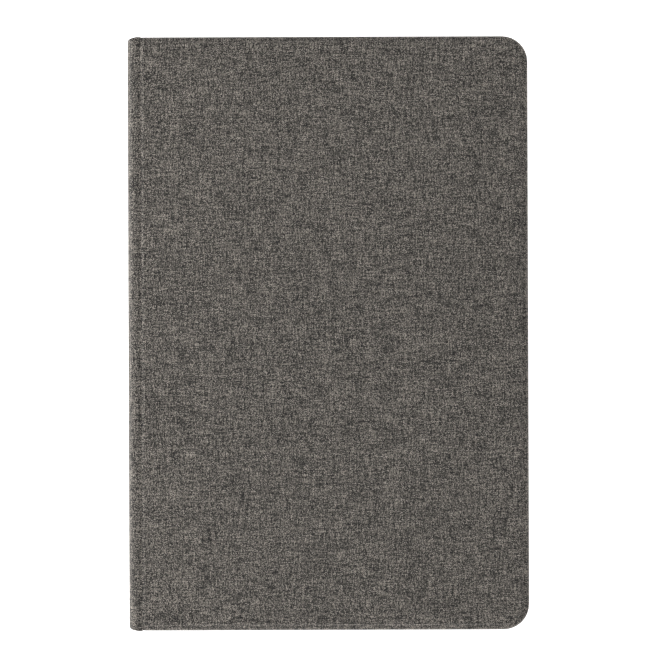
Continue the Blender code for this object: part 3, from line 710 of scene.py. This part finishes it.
def unfolded(points, outside_z):
    """Each point of a cover's cloth as it lies on the flat cut, so that threads run on over the edges."""
    low = np.array([COVER_OUTLINE.low_x, COVER_OUTLINE.low_y + COVER_CORNER])
    high = np.array([COVER_OUTLINE.high_x, COVER_OUTLINE.high_y]) - COVER_CORNER
    flat = points[:, :2]
    away = flat - np.clip(flat, low, high)
    length = np.linalg.norm(away, axis=1, keepdims=True)
    outward = np.where(length > 1e-7, away / np.maximum(length, 1e-7), 0.0)
    depth = np.abs(points[:, 2:] - outside_z)
    return np.column_stack([flat + outward * depth, np.zeros(len(flat))])


def make_cover_cloth(name, outside_z, inward, body, node, cutters=()):
    """The outer cloth of a cover: its face, rolled edges and the turn-in glued round the inner side."""
    spacing = 2.4 * MM
    rings = []
    for step_mm in FACE_STEPS_MM + EDGE_STEPS_MM:
        step = step_mm * MM
        flat = round_ring(COVER_OUTLINE, step, spacing)
        rings.append(with_z(flat, outside_z + inward * face_depth(flat, step)))
    # From the rolled edge round to the inner side: step in, step in on the crease's side, and depth.
    levels = (
        (0.05 * MM, 0.05 * MM, 2.75 * MM),
        (0.22 * MM, 0.22 * MM, 2.97 * MM),
        (0.5 * MM, 0.5 * MM, COVER),
        (TURN_IN, RIM_WALL - 0.2 * MM, COVER),
        (TURN_IN + 0.15 * MM, RIM_WALL - 0.1 * MM, COVER - 0.15 * MM),
        (TURN_IN + 0.15 * MM, RIM_WALL - 0.1 * MM, COVER - TURN_IN_THICKNESS),
        (RIM_WALL, RIM_WALL, COVER - TURN_IN_THICKNESS),
        (RIM_WALL, RIM_WALL, 1.05 * MM),
        (3.0 * MM, 3.0 * MM, CLOTH),
        (12.0 * MM, 12.0 * MM, CLOTH),
        (80.0 * MM, 80.0 * MM, CLOTH),
    )
    for step, low_step, depth in levels:
        flat = round_ring(COVER_OUTLINE, step, spacing, low_step=low_step)
        rings.append(with_z(flat, outside_z + inward * depth))
    piece = finish_piece(name, loft(name, rings), [HEATHER], body)
    cut(piece, cutters)
    piece.data.shade_smooth()
    piece.data.set_sharp_from_angle(angle=math.radians(50))
    write_cloth(piece, unfolded(points_of(piece.data), outside_z))
    return stand_for(piece, node)


def plain_slab(name, outline, low_z, high_z, edge, spacing=6.0 * MM):
    """A closed flat plate with rounded upper and lower edges."""
    levels = (
        (edge, low_z),
        (0.3 * edge, low_z + 0.3 * edge),
        (0.0, low_z + edge),
        (0.0, high_z - edge),
        (0.3 * edge, high_z - 0.3 * edge),
        (edge, high_z),
    )
    return loft(name, [with_z(round_ring(outline, step, spacing, 6), z) for step, z in levels])


FLAP_BOX = KICKSTAND_LOW, KICKSTAND_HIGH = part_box("kickstand_skin")
FLAP = outline_of(FLAP_BOX, 0.0, 4.6 * MM, 0.3 * MM)
FLAP_GAP = 0.4 * MM
FLAP_OPENING = outline_of(FLAP_BOX, FLAP_GAP, 5.0 * MM, 0.1 * MM)
NOTCH_HALF = 8.0 * MM
NOTCH_X = FLAP_OPENING.low_x
NOTCH = Outline(NOTCH_X - NOTCH_HALF, NOTCH_X + NOTCH_HALF, -NOTCH_HALF, NOTCH_HALF, 7.99 * MM, 7.99 * MM)
BEZEL_GAP = 0.3 * MM
CAMERA_HOLE = outline_of(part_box("camera_bezel"), BEZEL_GAP, 7.2 * MM, 7.2 * MM)


def cutter_mesh(outline, low_z, high_z):
    """A solid that cuts an outline through a piece between two heights."""
    return loft("cutter", [with_z(round_ring(outline, 0.0, 4 * MM, 10), z) for z in (low_z, high_z)])


def make_covers():
    """The outer cloth of both covers, the rear one open round the kickstand and the camera."""
    cloth = make_cover_cloth("front_cloth", CASE_Z, -1, "front_cover", "front_skin")
    cutters = [cutter_mesh(outline, -MM, 2.45 * MM) for outline in (FLAP_OPENING, NOTCH)]
    cutters.append(cutter_mesh(CAMERA_HOLE, -MM, COVER + MM))
    cloth = make_cover_cloth("rear_cloth", 0.0, 1, "rear_cover", "rear_skin", cutters)


make_covers()


# Spine and creases


def run_length(curve):
    """The length along a curve up to each of its points."""
    steps = np.linalg.norm(np.diff(curve, axis=0), axis=1)
    return np.concatenate([[0.0], np.cumsum(steps)])


def arch(depth, lead, count):
    """Evenly spaced points of the spine's curve at a depth, from lead past the front crease to the rear."""
    half = CASE_Z / 2
    bulge = CREASE_X - CREASE_GAP - SPINE_LOW.x + SPINE_EXTRA
    turn = np.linspace(0, math.pi, 1441)
    out = np.sin(turn) ** SPINE_SQUARENESS
    rise = np.sign(np.cos(turn)) * np.abs(np.cos(turn)) ** SPINE_SQUARENESS
    outermost = np.stack([-bulge * out, (half - SPINE_DROP) * rise], axis=1)
    length = run_length(outermost)
    first = length[np.argmax(bulge * out >= lead)]
    at = np.linspace(first, length[-1] - first, count)
    x = CREASE_X - CREASE_GAP - (bulge - depth) * np.interp(at, length, out)
    z = half + (half - SPINE_DROP - depth) * np.interp(at, length, rise)
    return np.stack([x, z], axis=1)


def stations(half_length, spacing, end_steps):
    """Places along Y, closer together at the ends where an edge is rounded."""
    inner = half_length - end_steps[-1]
    count = round(2 * inner / spacing)
    middle = np.linspace(-inner, inner, count + 1)
    ends = [half_length - step for step in end_steps[:-1]]
    return np.concatenate([[-end for end in ends], middle, ends[::-1]])


END_STEPS = tuple(step * MM for step in (0.0, 0.08, 0.25, 0.5, 0.9, 1.4))


def band(name, outer, inner, half_length, width, drop, uneven=0.0, start_u=0.0):
    """A closed band between two curves in X and Z, run along Y, its ends rounded towards its middle.

    Returns the mesh and where each of its points lies on the flat cloth.
    """
    middle = (outer + inner) / 2
    along = start_u - run_length(outer)
    rings = []
    places = []
    for y in stations(half_length, 3.0 * MM, END_STEPS):
        dropped = roll(half_length - abs(y), width, drop)
        share = min(dropped / max(np.linalg.norm(outer[0] - inner[0]), 1e-6), 0.9)
        upper = outer + (middle - outer) * share
        lower = inner + (middle - inner) * share
        if uneven:
            bump = wobble(along, np.full(len(along), y), uneven)[:, None]
            upper = upper + (middle - upper) / np.linalg.norm(middle - upper, axis=1, keepdims=True) * bump
        loop = np.concatenate([upper, lower[::-1]])
        rings.append(np.column_stack([loop[:, 0], np.full(len(loop), y), loop[:, 1]]))
        over = math.copysign(dropped, y)
        flat = np.column_stack([along, np.full(len(along), y + over), np.zeros(len(along))])
        places.append(np.concatenate([flat, flat[::-1]]))
    return loft(name, rings, merge=False), np.concatenate(places)


HALF_LENGTH = FRONT_HIGH.y
CLOTH_END_DROP = 0.5 * MM


def flatten_with_spine(piece):
    """Gives the piece a mesh of its own."""
    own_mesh(piece)


# Each crease strip's section, from the cover's side to the spine's: mm from the crease, mm of depth.
OUTER_CREASE = (
    (0.75, 0.62),
    (0.4, 0.6),
    (0.15, 0.57),
    (-0.1, 0.53),
    (-0.4, 0.47),
    (-0.75, 0.41),
    (-1.1, 0.41),
    (-1.5, 0.52),
)
INNER_CREASE = (
    (3.2, 3.16),
    (2.2, 3.24),
    (1.4, 3.3),
    (0.7, 3.28),
    (0.2, 3.1),
    (-0.3, 2.9),
    (-0.7, 2.95),
    (-1.0, 3.5),
    (-1.25, 4.4),
)


def make_crease(name, profile, thickness, finish, bodies, ends, at_front, half_length):
    """A strip of cloth that bends between two bodies along a crease, from one of ends to the other."""
    path = np.array(profile) * MM
    fine = np.linspace(0, len(path) - 1, 4 * len(path))
    path = np.stack([np.interp(fine, range(len(path)), path[:, axis]) for axis in (0, 1)], axis=1)
    along = np.gradient(path, axis=0)
    normal = np.stack([along[:, 1], -along[:, 0]], axis=1)
    normal /= np.linalg.norm(normal, axis=1, keepdims=True)
    back = path + normal * thickness
    curves = []
    for curve in (path, back):
        z = CASE_Z - curve[:, 1] if at_front else curve[:, 1]
        curves.append(np.stack([CREASE_X + curve[:, 0], z], axis=1))
    mesh, places = band(name, *curves, half_length, 1.0 * MM, 0.2 * MM, 0.0, curves[0][0][0])
    piece = finish_piece(name, mesh, [finish], None, 60)
    write_cloth(piece, places)
    z = CASE_Z if at_front else 0.0
    start, stop = ends
    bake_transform(piece, *bodies, start=(CREASE_X + start * MM, 0.0, z), end=(CREASE_X + stop * MM, 0.0, z))
    return piece


# Each crease's strips: name after the side's, section, thickness, finish, the mm between which it bends,
# how much shorter it is than the case at each end, and a CAD node.
CREASE_STRIPS = (
    ("crease_cloth", OUTER_CREASE, 0.45 * MM, HEATHER, (-0.45, 0.45), 0.0, "spine_skin"),
    ("crease_lining", INNER_CREASE, -0.25 * MM, MICROFIBRE, (-1.0, 1.3), 1.5 * MM, "spine_lining"),
)


def make_creases():
    """The strips along both creases: first the outer ones, then the inner ones."""
    made = ([], [])
    for at_front, bodies in ((True, ("spine", "front_cover")), (False, ("rear_cover", "spine"))):
        side = "front" if at_front else "rear"
        for pieces, (kind, profile, thickness, finish, ends, shorter, node) in zip(made, CREASE_STRIPS):
            reach = ends if at_front else ends[::-1]
            half = HALF_LENGTH - shorter
            piece = make_crease(f"{side}_{kind}", profile, thickness, finish, bodies, reach, at_front, half)
            pieces.append(piece)
    return made


def make_spine():
    """The spine's cloth, stiffening strip and lining."""
    outer = arch(0.0, CLOTH_LEAD, SPINE_POINTS)
    mesh, places = band(
        "spine_cloth",
        outer,
        arch(CLOTH, CLOTH_LEAD, SPINE_POINTS),
        HALF_LENGTH,
        SPINE_END_WIDTH,
        CLOTH_END_DROP,
        SPINE_UNEVEN,
        outer[0][0],
    )
    cloth = finish_piece("spine_cloth", mesh, [HEATHER], "spine", 50)
    write_cloth(cloth, places)
    # The spine is a little shorter where it bulges most, because its ends are pulled in over the strip.
    joint_x = CREASE_X - CREASE_GAP
    for point in mesh.vertices:
        share = (joint_x - point.co.x) / (joint_x - outer[:, 0].min())
        point.co.y *= 1 - SPINE_TAPER * max(share, 0.0) ** 2 / HALF_LENGTH
    stand_for(cloth, "spine_skin")
    flatten_with_spine(cloth)

    strip_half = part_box("spine_strip")[1].y
    curves = [arch(depth, STRIP_LEAD, STRIP_POINTS) for depth in STRIP_DEPTHS]
    mesh = band("spine_strip_moulding", *curves, strip_half, 0.6 * MM, 0.2 * MM)[0]
    strip = finish_piece("spine_strip_moulding", mesh, [STRIP], "spine", 50)
    stand_for(strip, "spine_strip")
    flatten_with_spine(strip)

    curves = [arch(depth, LINING_LEAD, SPINE_POINTS) for depth in LINING_DEPTHS]
    mesh = band("spine_lining_cloth", *curves, strip_half, 1.0 * MM, 0.2 * MM)[0]
    lining = finish_piece("spine_lining_cloth", mesh, [MICROFIBRE], "spine", 50)
    stand_for(lining, "spine_lining")
    flatten_with_spine(lining)
    outer_creases, inner_creases = make_creases()


make_spine()


# Linings, kickstand and camera opening


def make_linings():
    """The microfibre that lines both covers."""
    low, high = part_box("front_lining")
    outline = Outline(
        low.x,
        FRONT_HIGH.x - LINING_BORDER,
        FRONT_LOW.y + LINING_BORDER,
        FRONT_HIGH.y - LINING_BORDER,
        1.0 * MM,
        5.0 * MM,
    )
    mesh = plain_slab("front_lining_cloth", outline, low.z, high.z, 0.15 * MM)
    lining = finish_piece("front_lining_cloth", mesh, [MICROFIBRE], "front_cover")
    stand_for(lining, "front_lining")
    low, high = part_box("rear_lining")
    mesh = plain_slab("rear_lining_cloth", outline, low.z, high.z, 0.15 * MM)
    lining = finish_piece("rear_lining_cloth", mesh, [MICROFIBRE], "rear_cover")
    cut(lining, [cutter_mesh(CAMERA_HOLE, MM, COVER + MM)])
    stand_for(lining, "rear_lining")


def make_kickstand():
    """The kickstand's cloth, the microfibre on its inner side and the cloth hinge that it turns on."""
    edge = 0.25 * MM
    mesh = plain_slab("kickstand_cloth", FLAP, KICKSTAND_LOW.z, KICKSTAND_HIGH.z, edge, 3 * MM)
    cloth = finish_piece("kickstand_cloth", mesh, [HEATHER], "kickstand")
    write_cloth(cloth, points_of(cloth.data) * (1, 1, 0))
    stand_for(cloth, "kickstand_skin")
    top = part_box("kickstand_board")[1].z
    inner = outline_of(FLAP_BOX, -BACKING_IN, FLAP.low_corner, FLAP.high_corner)
    mesh = plain_slab("kickstand_backing", inner, top, top + BACKING, 0.05 * MM, 3 * MM)
    backing = finish_piece("kickstand_backing", mesh, [MICROFIBRE], "kickstand")

    hinge_x = KICKSTAND_HIGH.x + FLAP_GAP
    half = KICKSTAND_HIGH.y - HINGE_SHORT
    reach = np.linspace(HINGE_REACH, -HINGE_REACH, 33)
    curves = [np.stack([hinge_x + reach, np.full(len(reach), z)], axis=1) for z in HINGE_DEPTHS]
    mesh, places = band("kickstand_hinge_cloth", *curves, half, 0.3 * MM, 0.05 * MM, 0.0, hinge_x)
    hinge = finish_piece("kickstand_hinge_cloth", mesh, [HEATHER], None, 60)
    write_cloth(hinge, places)
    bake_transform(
        hinge,
        "rear_cover",
        "kickstand",
        start=(hinge_x + HINGE_BEND, 0.0, 0.0),
        end=(hinge_x - HINGE_BEND, 0.0, 0.0),
    )


make_linings()
make_kickstand()
refined("camera_bezel", "camera_bezel_moulding", CONTROL, 0.12 * MM)
refined("tablet_tray", "tablet_tray_moulding", TPU, 0.25 * MM)


# Raised dots that let the air out from under the tablet


def dots_tree():
    """A grid of low domes, clear of one rectangle."""
    tree = bpy.data.node_groups.new("air_release_dots", "GeometryNodeTree")
    tree.interface.new_socket("Geometry", in_out="OUTPUT", socket_type="NodeSocketGeometry")
    for name, kind in (
        ("Size X", "Float"),
        ("Size Y", "Float"),
        ("Columns", "Int"),
        ("Rows", "Int"),
        ("Middle", "Vector"),
        ("Clear Middle", "Vector"),
        ("Clear Half", "Vector"),
        ("Dot", "Vector"),
        ("Material", "Material"),
    ):
        tree.interface.new_socket(name, in_out="INPUT", socket_type="NodeSocket" + kind)
    given = add(tree, "NodeGroupInput").outputs
    grid = add(
        tree,
        "GeometryNodeMeshGrid",
        links={0: given["Size X"], 1: given["Size Y"], 2: given["Columns"], 3: given["Rows"]},
    )
    placed = add(tree, "GeometryNodeTransform", links={"Geometry": grid, "Translation": given["Middle"]})
    position = add(tree, "GeometryNodeInputPosition")
    away = add(
        tree, "ShaderNodeVectorMath", {"operation": "SUBTRACT"}, {0: position, 1: given["Clear Middle"]}
    )
    distance = add(tree, "ShaderNodeVectorMath", {"operation": "ABSOLUTE"}, {0: away})
    less = {"operation": "SUBTRACT"}
    over = add(tree, "ShaderNodeVectorMath", less, {0: distance, 1: given["Clear Half"]})
    split = add(tree, "ShaderNodeSeparateXYZ", links={0: over})
    larger = add(
        tree, "ShaderNodeMath", {"operation": "MAXIMUM"}, {0: split.outputs["X"], 1: split.outputs["Y"]}
    )
    inside = add(tree, "ShaderNodeMath", {"operation": "LESS_THAN", 1: 0.0}, {0: larger})
    kept = add(tree, "GeometryNodeDeleteGeometry", {"domain": "POINT"}, {0: placed, 1: inside})
    ball = add(tree, "GeometryNodeMeshUVSphere", {0: 10, 1: 8, 2: 1.0})
    dots = add(
        tree,
        "GeometryNodeInstanceOnPoints",
        links={"Points": kept, "Instance": ball, "Scale": given["Dot"]},
    )
    real = add(tree, "GeometryNodeRealizeInstances", links={0: dots})
    finished = add(tree, "GeometryNodeSetMaterial", links={"Geometry": real, "Material": given["Material"]})
    add(tree, "NodeGroupOutput", links={0: finished})
    return tree


def make_dots():
    """The dots on the tray's floor, clear of the camera's opening."""
    low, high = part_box("tablet_tray")
    floor_z = low.z + TRAY_FLOOR
    sides = [high[axis] - low[axis] - 2 * DOT_MARGIN for axis in (0, 1)]
    counts = [round(side / DOT_PITCH) + 1 for side in sides]
    tree = dots_tree()
    hole = CAMERA_HOLE
    middle = ((hole.low_x + hole.high_x) / 2, (hole.low_y + hole.high_y) / 2, 0.0)
    half = ((hole.high_x - hole.low_x) / 2, (hole.high_y - hole.low_y) / 2)
    values = {
        "Size X": sides[0],
        "Size Y": sides[1],
        "Columns": counts[0],
        "Rows": counts[1],
        "Middle": ((low.x + high.x) / 2, (low.y + high.y) / 2, floor_z),
        "Clear Middle": middle,
        "Clear Half": (half[0] + DOT_CLEAR, half[1] + DOT_CLEAR, 0.0),
        "Dot": DOT_HALF,
        "Material": TPU,
    }
    mesh = bpy.data.meshes.new("air_release_dots")
    piece = finish_piece("air_release_dots", mesh, [TPU], None)
    modifier = piece.modifiers.new("dots", "NODES")
    modifier.node_group = tree
    for socket in tree.interface.items_tree:
        if socket.in_out == "INPUT":
            modifier[socket.identifier] = values[socket.name]
    freeze(piece)
    piece.data.shade_smooth()
    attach(piece, "rear_cover")


make_dots()


# Keyboard. It faces down, so the keys' tops are at their lowest Z.
DECK_LOW, DECK_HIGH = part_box("keyboard_deck")


def key_levels(half, top_z, foot_z, foot_top_z):
    """(inset, Z) pairs up a keycap, from its foot over its edge into its dish."""
    levels = [(0.0, foot_top_z), (0.0, top_z + KEY_EDGE)]
    for angle in (25, 50, 72):
        turn = math.radians(angle)
        levels.append((KEY_EDGE * (1 - math.cos(turn)), top_z + KEY_EDGE * (1 - math.sin(turn))))
    levels.append((KEY_EDGE, top_z))
    for share in (0.25, 0.4, 0.6, 0.8, 0.96):
        inset = half * share
        levels.append((inset, top_z + KEY_DISH * smooth_step((inset - KEY_EDGE) / (half - KEY_EDGE))))
    if foot_z is not None:
        levels = [(-KEY_FOOT, foot_z), (-KEY_FOOT, foot_top_z)] + levels
    return [(inset, z) for inset, z in levels if inset < half]


def dish_z(points, outline, levels):
    """The height of a keycap's top at points inside its outline."""
    edge = np.minimum(
        np.minimum(points[:, 0] - outline.low_x, outline.high_x - points[:, 0]),
        np.minimum(points[:, 1] - outline.low_y, outline.high_y - points[:, 1]),
    )
    top = [(inset, z) for inset, z in levels if inset >= KEY_EDGE * 0.99]
    return np.interp(edge, [inset for inset, z in top], [z for inset, z in top])


def printed(mesh, middle, outline, levels):
    """Turns a flat drawing to read on a key, lays it on the key's top and gives it the second material."""
    points = points_of(mesh)
    back = points[:, 2] < 0
    flat = np.column_stack([middle[0] - points[:, 1], middle[1] - points[:, 0]])
    z = dish_z(flat, outline, levels) + np.where(back, 0.08 * MM, -LEGEND_RISE)
    placed = np.column_stack([flat, z])
    mesh.vertices.foreach_set("co", placed.ravel())
    mesh.update()
    for polygon in mesh.polygons:
        polygon.material_index = 1
    return mesh


def text_mesh(text, size):
    """Text as a thin solid, centred on the origin, with its front towards +Z."""
    curve = bpy.data.curves.new("legend", "FONT")
    curve.body = text
    curve.size = size
    curve.align_x = "CENTER"
    curve.align_y = "CENTER"
    curve.extrude = LEGEND_HALF
    curve.resolution_u = 3
    holder = bpy.data.objects.new("legend", curve)
    bpy.context.scene.collection.objects.link(holder)
    bpy.context.view_layer.update()
    view = bpy.context.evaluated_depsgraph_get()
    mesh = bpy.data.meshes.new_from_object(holder.evaluated_get(view), depsgraph=view)
    bpy.data.objects.remove(holder, do_unlink=True)
    mesh.materials.clear()
    bm = bmesh.new()
    bm.from_mesh(mesh)
    bmesh.ops.remove_doubles(bm, verts=bm.verts, dist=MERGE_WITHIN)
    bm.to_mesh(mesh)
    bm.free()
    return mesh


def arrow_mesh(turn, size):
    """A solid triangle that points away from the typist, turned by an angle."""
    corners = np.array([(0.0, 0.55), (-0.5, -0.35), (0.5, -0.35)]) * size
    angle = math.radians(turn)
    spun = corners @ np.array([(math.cos(angle), math.sin(angle)), (-math.sin(angle), math.cos(angle))])
    mesh = bpy.data.meshes.new("arrow")
    points = [(x, y, z) for z in (-LEGEND_HALF, LEGEND_HALF) for x, y in spun]
    faces = [(0, 1, 2), (5, 4, 3), (0, 3, 4, 1), (1, 4, 5, 2), (2, 5, 3, 0)]
    mesh.from_pydata(points, [], faces)
    turn_outward(mesh)
    return mesh


def legends(label, outline, levels):
    """The printed marks of one key."""
    middle = ((outline.low_x + outline.high_x) / 2, (outline.low_y + outline.high_y) / 2)
    if not label:
        return []
    if label in ARROW_TURNS:
        return [printed(arrow_mesh(ARROW_TURNS[label], ARROW), middle, outline, levels)]
    if label in SHIFTED:
        marks = [
            (label, (middle[0] + SHIFTED_APART, middle[1])),
            (SHIFTED[label], (middle[0] - SHIFTED_APART, middle[1])),
        ]
        return [printed(text_mesh(text, 0.85 * LETTER), place, outline, levels) for text, place in marks]
    drawing = text_mesh(label.upper(), LETTER) if len(label) == 1 else text_mesh(label, WORD)
    return [printed(drawing, middle, outline, levels)]


def make_keycaps(node):
    """One key, or a strip of joined keys, with dished tops and printed marks."""
    low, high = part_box(node)
    labels = LABELS.get(node, [node.removeprefix("key_")])
    strip = len(labels) > 1
    foot = 0.0 if strip else KEY_FOOT
    pitch = (high.y - low.y - 2 * foot + KEY_SPACING) / len(labels)
    body = body_of_node(node)
    foot_top_z = DECK_HIGH.z + KEY_FOOT_DROP
    meshes = []
    for at, label in enumerate(labels):
        high_y = high.y - foot - at * pitch
        low_y = high_y - pitch + KEY_SPACING
        outline = Outline(low.x + foot, high.x - foot, low_y, high_y, KEY_CORNER, KEY_CORNER)
        half = (outline.high_x - outline.low_x) / 2
        start_z = high.z if strip else foot_top_z
        levels = key_levels(half, low.z, None if strip else high.z, start_z)
        rings = [with_z(round_ring(outline, step, KEY_POINT_SPACING, 5), z) for step, z in levels]
        meshes.append(loft("cap", rings))
        meshes += legends(label, outline, levels)
    if strip:
        middle_x = (low.x + high.x) / 2
        sides = (middle_x - WEB_HALF, middle_x + WEB_HALF, low.y + WEB_SHORT, high.y - WEB_SHORT)
        web = Outline(*sides, 0.1 * MM, 0.1 * MM)
        meshes.append(plain_slab("web", web, foot_top_z, foot_top_z + KEY_FOOT_DROP, 0.05 * MM))
    name = f"{node}_moulding"
    piece = finish_piece(name, joined(name, meshes), [KEY, INK], body)
    return stand_for(piece, node)


def make_keys():
    for node in sorted(frame["nodes"]):
        if node.startswith("key_") or node in LABELS:
            make_keycaps(node)


def round_pad(name, x, y, radius, height, finish, dome=0.3):
    """A low round pad that stands on the keyboard's deck and faces the tray."""
    outline = Outline(x - radius, x + radius, y - radius, y + radius, radius * 0.999, radius * 0.999)
    levels = [(0.0, DECK_LOW.z + 0.1 * MM), (0.0, DECK_LOW.z - height * (1 - dome))]
    for share in (0.12, 0.3, 0.6, 0.9):
        rise = math.sqrt(1 - (1 - share) ** 2)
        levels.append((radius * share, DECK_LOW.z - height * (1 - dome) - height * dome * rise))
    rings = [with_z(round_ring(outline, step, 10 * MM, 6), z) for step, z in levels]
    piece = finish_piece(name, loft(name, rings), [finish], "front_cover")


FOOT_IN = 4.5 * MM
FOOT_IN_FREE = 2.6 * MM


def make_keyboard():
    """The keyboard's housing, switch, button, keys, feet and indicator lights."""
    refined("keyboard_base", "keyboard_base_moulding", HOUSING, 0.2 * MM)
    refined("keyboard_deck", "keyboard_deck_moulding", HOUSING, 0.12 * MM)
    refined("power_switch", "power_switch_moulding", CONTROL, 0.2 * MM)
    refined("pairing_button", "pairing_button_moulding", CONTROL, 0.2 * MM)
    make_keys()
    number = 0
    for x in (DECK_LOW.x + FOOT_IN, DECK_HIGH.x - FOOT_IN_FREE):
        for y in (DECK_HIGH.y - FOOT_IN, DECK_LOW.y + FOOT_IN):
            number += 1
            round_pad(f"deck_foot_{number}", x, y, 1.6 * MM, 0.7 * MM, FOOT)
    low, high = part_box("pairing_button")
    x = (low.x + high.x) / 2
    for number in (1, 2, 3):
        y = low.y - (1 + 5 * number) * MM
        name = f"indicator_lens_{number}"
        round_pad(name, x, y, 0.75 * MM, 0.15 * MM, LENS, 0.8)


make_keyboard()


def make_circuit_board():
    """The circuit board, whose socket has a plated shell."""
    board = refined("circuit_board", "circuit_board_assembly", CIRCUIT, 0.05 * MM, 1)
    board.data.materials.append(NICKEL)
    end_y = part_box("circuit_board")[1].y
    for face in board.data.polygons:
        near_end = face.center.y > end_y - SOCKET_DEPTH
        if near_end and SOCKET_X[0] < face.center.x < SOCKET_X[1]:
            face.material_index = 1


make_circuit_board()


# Inner CAD pieces keep their shapes and take their own finishes.
INNER_FINISHES = {
    "front_board": GREYBOARD,
    "rear_board": GREYBOARD,
    "kickstand_board": GREYBOARD,
    "dome_sheet": SILICONE,
    "battery": FOIL,
    "closure_magnet": NICKEL,
}
for node, finish in INNER_FINISHES.items():
    data = frame["nodes"][node].data
    data.materials.clear()
    data.materials.append(finish)


# Floor and light

FLOOR_HALF = 20.0
# Below the covers, because the flattened spine lies a little lower than they do when the case is open.
FLOOR_Z = -1.02 * MM
WHITE = (1.0, 1.0, 1.0, 1.0)
SURROUND_STRENGTH = 0.07
# Square soft boxes: place, side and power.
SOFTBOXES = (
    ("left_softbox", (-0.8, 0.05, 0.34), 0.5, 9.3),
    ("front_softbox", (0.0, -1.5, 0.33), 0.7, 26.5),
    ("right_softbox", (1.2, 0.1, 0.17), 0.5, 9.5),
    ("back_softbox", (0.0, 1.0, 0.26), 0.5, 4.6),
)


def make_floor():
    """Painted board, lit from within: an even matt white without a shadow or a seam."""
    material, tree, shader = new_material("matt_white_floor", {"Roughness": 0.9, "Specular IOR Level": 0.1})
    place = add(tree, "ShaderNodeTexCoord").outputs["Object"]
    tooth = add(tree, "ShaderNodeTexNoise", {"Scale": 900.0, "Detail": 2.0}, {"Vector": place})
    pale = ramp(tree, tooth, [(0.0, "f6f6f5"), (1.0, "fcfcfb")])
    tree.links.new(pale.outputs[0], shader.inputs["Base Color"])
    shader.inputs["Emission Color"].default_value = WHITE
    shader.inputs["Emission Strength"].default_value = 1.0
    mesh = bpy.data.meshes.new("floor")
    corners = [(x * FLOOR_HALF, y * FLOOR_HALF, 0.0) for x, y in ((-1, -1), (1, -1), (1, 1), (-1, 1))]
    mesh.from_pydata(corners, [], [(0, 1, 2, 3)])
    mesh.materials.append(material)
    floor = bpy.data.objects.new("floor", mesh)
    bpy.context.scene.collection.objects.link(floor)
    floor.location.z = FLOOR_Z


def make_light(name, place, size, power):
    """A square soft box that faces the object."""
    data = bpy.data.lights.new(name, "AREA")
    data.size = size
    data.energy = power
    light = bpy.data.objects.new(name, data)
    bpy.context.scene.collection.objects.link(light)
    light.visible_camera = False
    light.location = place
    light.rotation_mode = "QUATERNION"
    light.rotation_quaternion = Vector(place).to_track_quat("Z", "Y")


def make_studio():
    """The lights, their faint surroundings and the way brightness is shown."""
    world = bpy.data.worlds.new("studio")
    bpy.context.scene.world = world
    world.use_nodes = True
    background = world.node_tree.nodes["Background"]
    background.inputs["Color"].default_value = WHITE
    background.inputs["Strength"].default_value = SURROUND_STRENGTH
    for softbox in SOFTBOXES:
        make_light(*softbox)
    bpy.context.scene.view_settings.view_transform = "Standard"


make_floor()
make_studio()
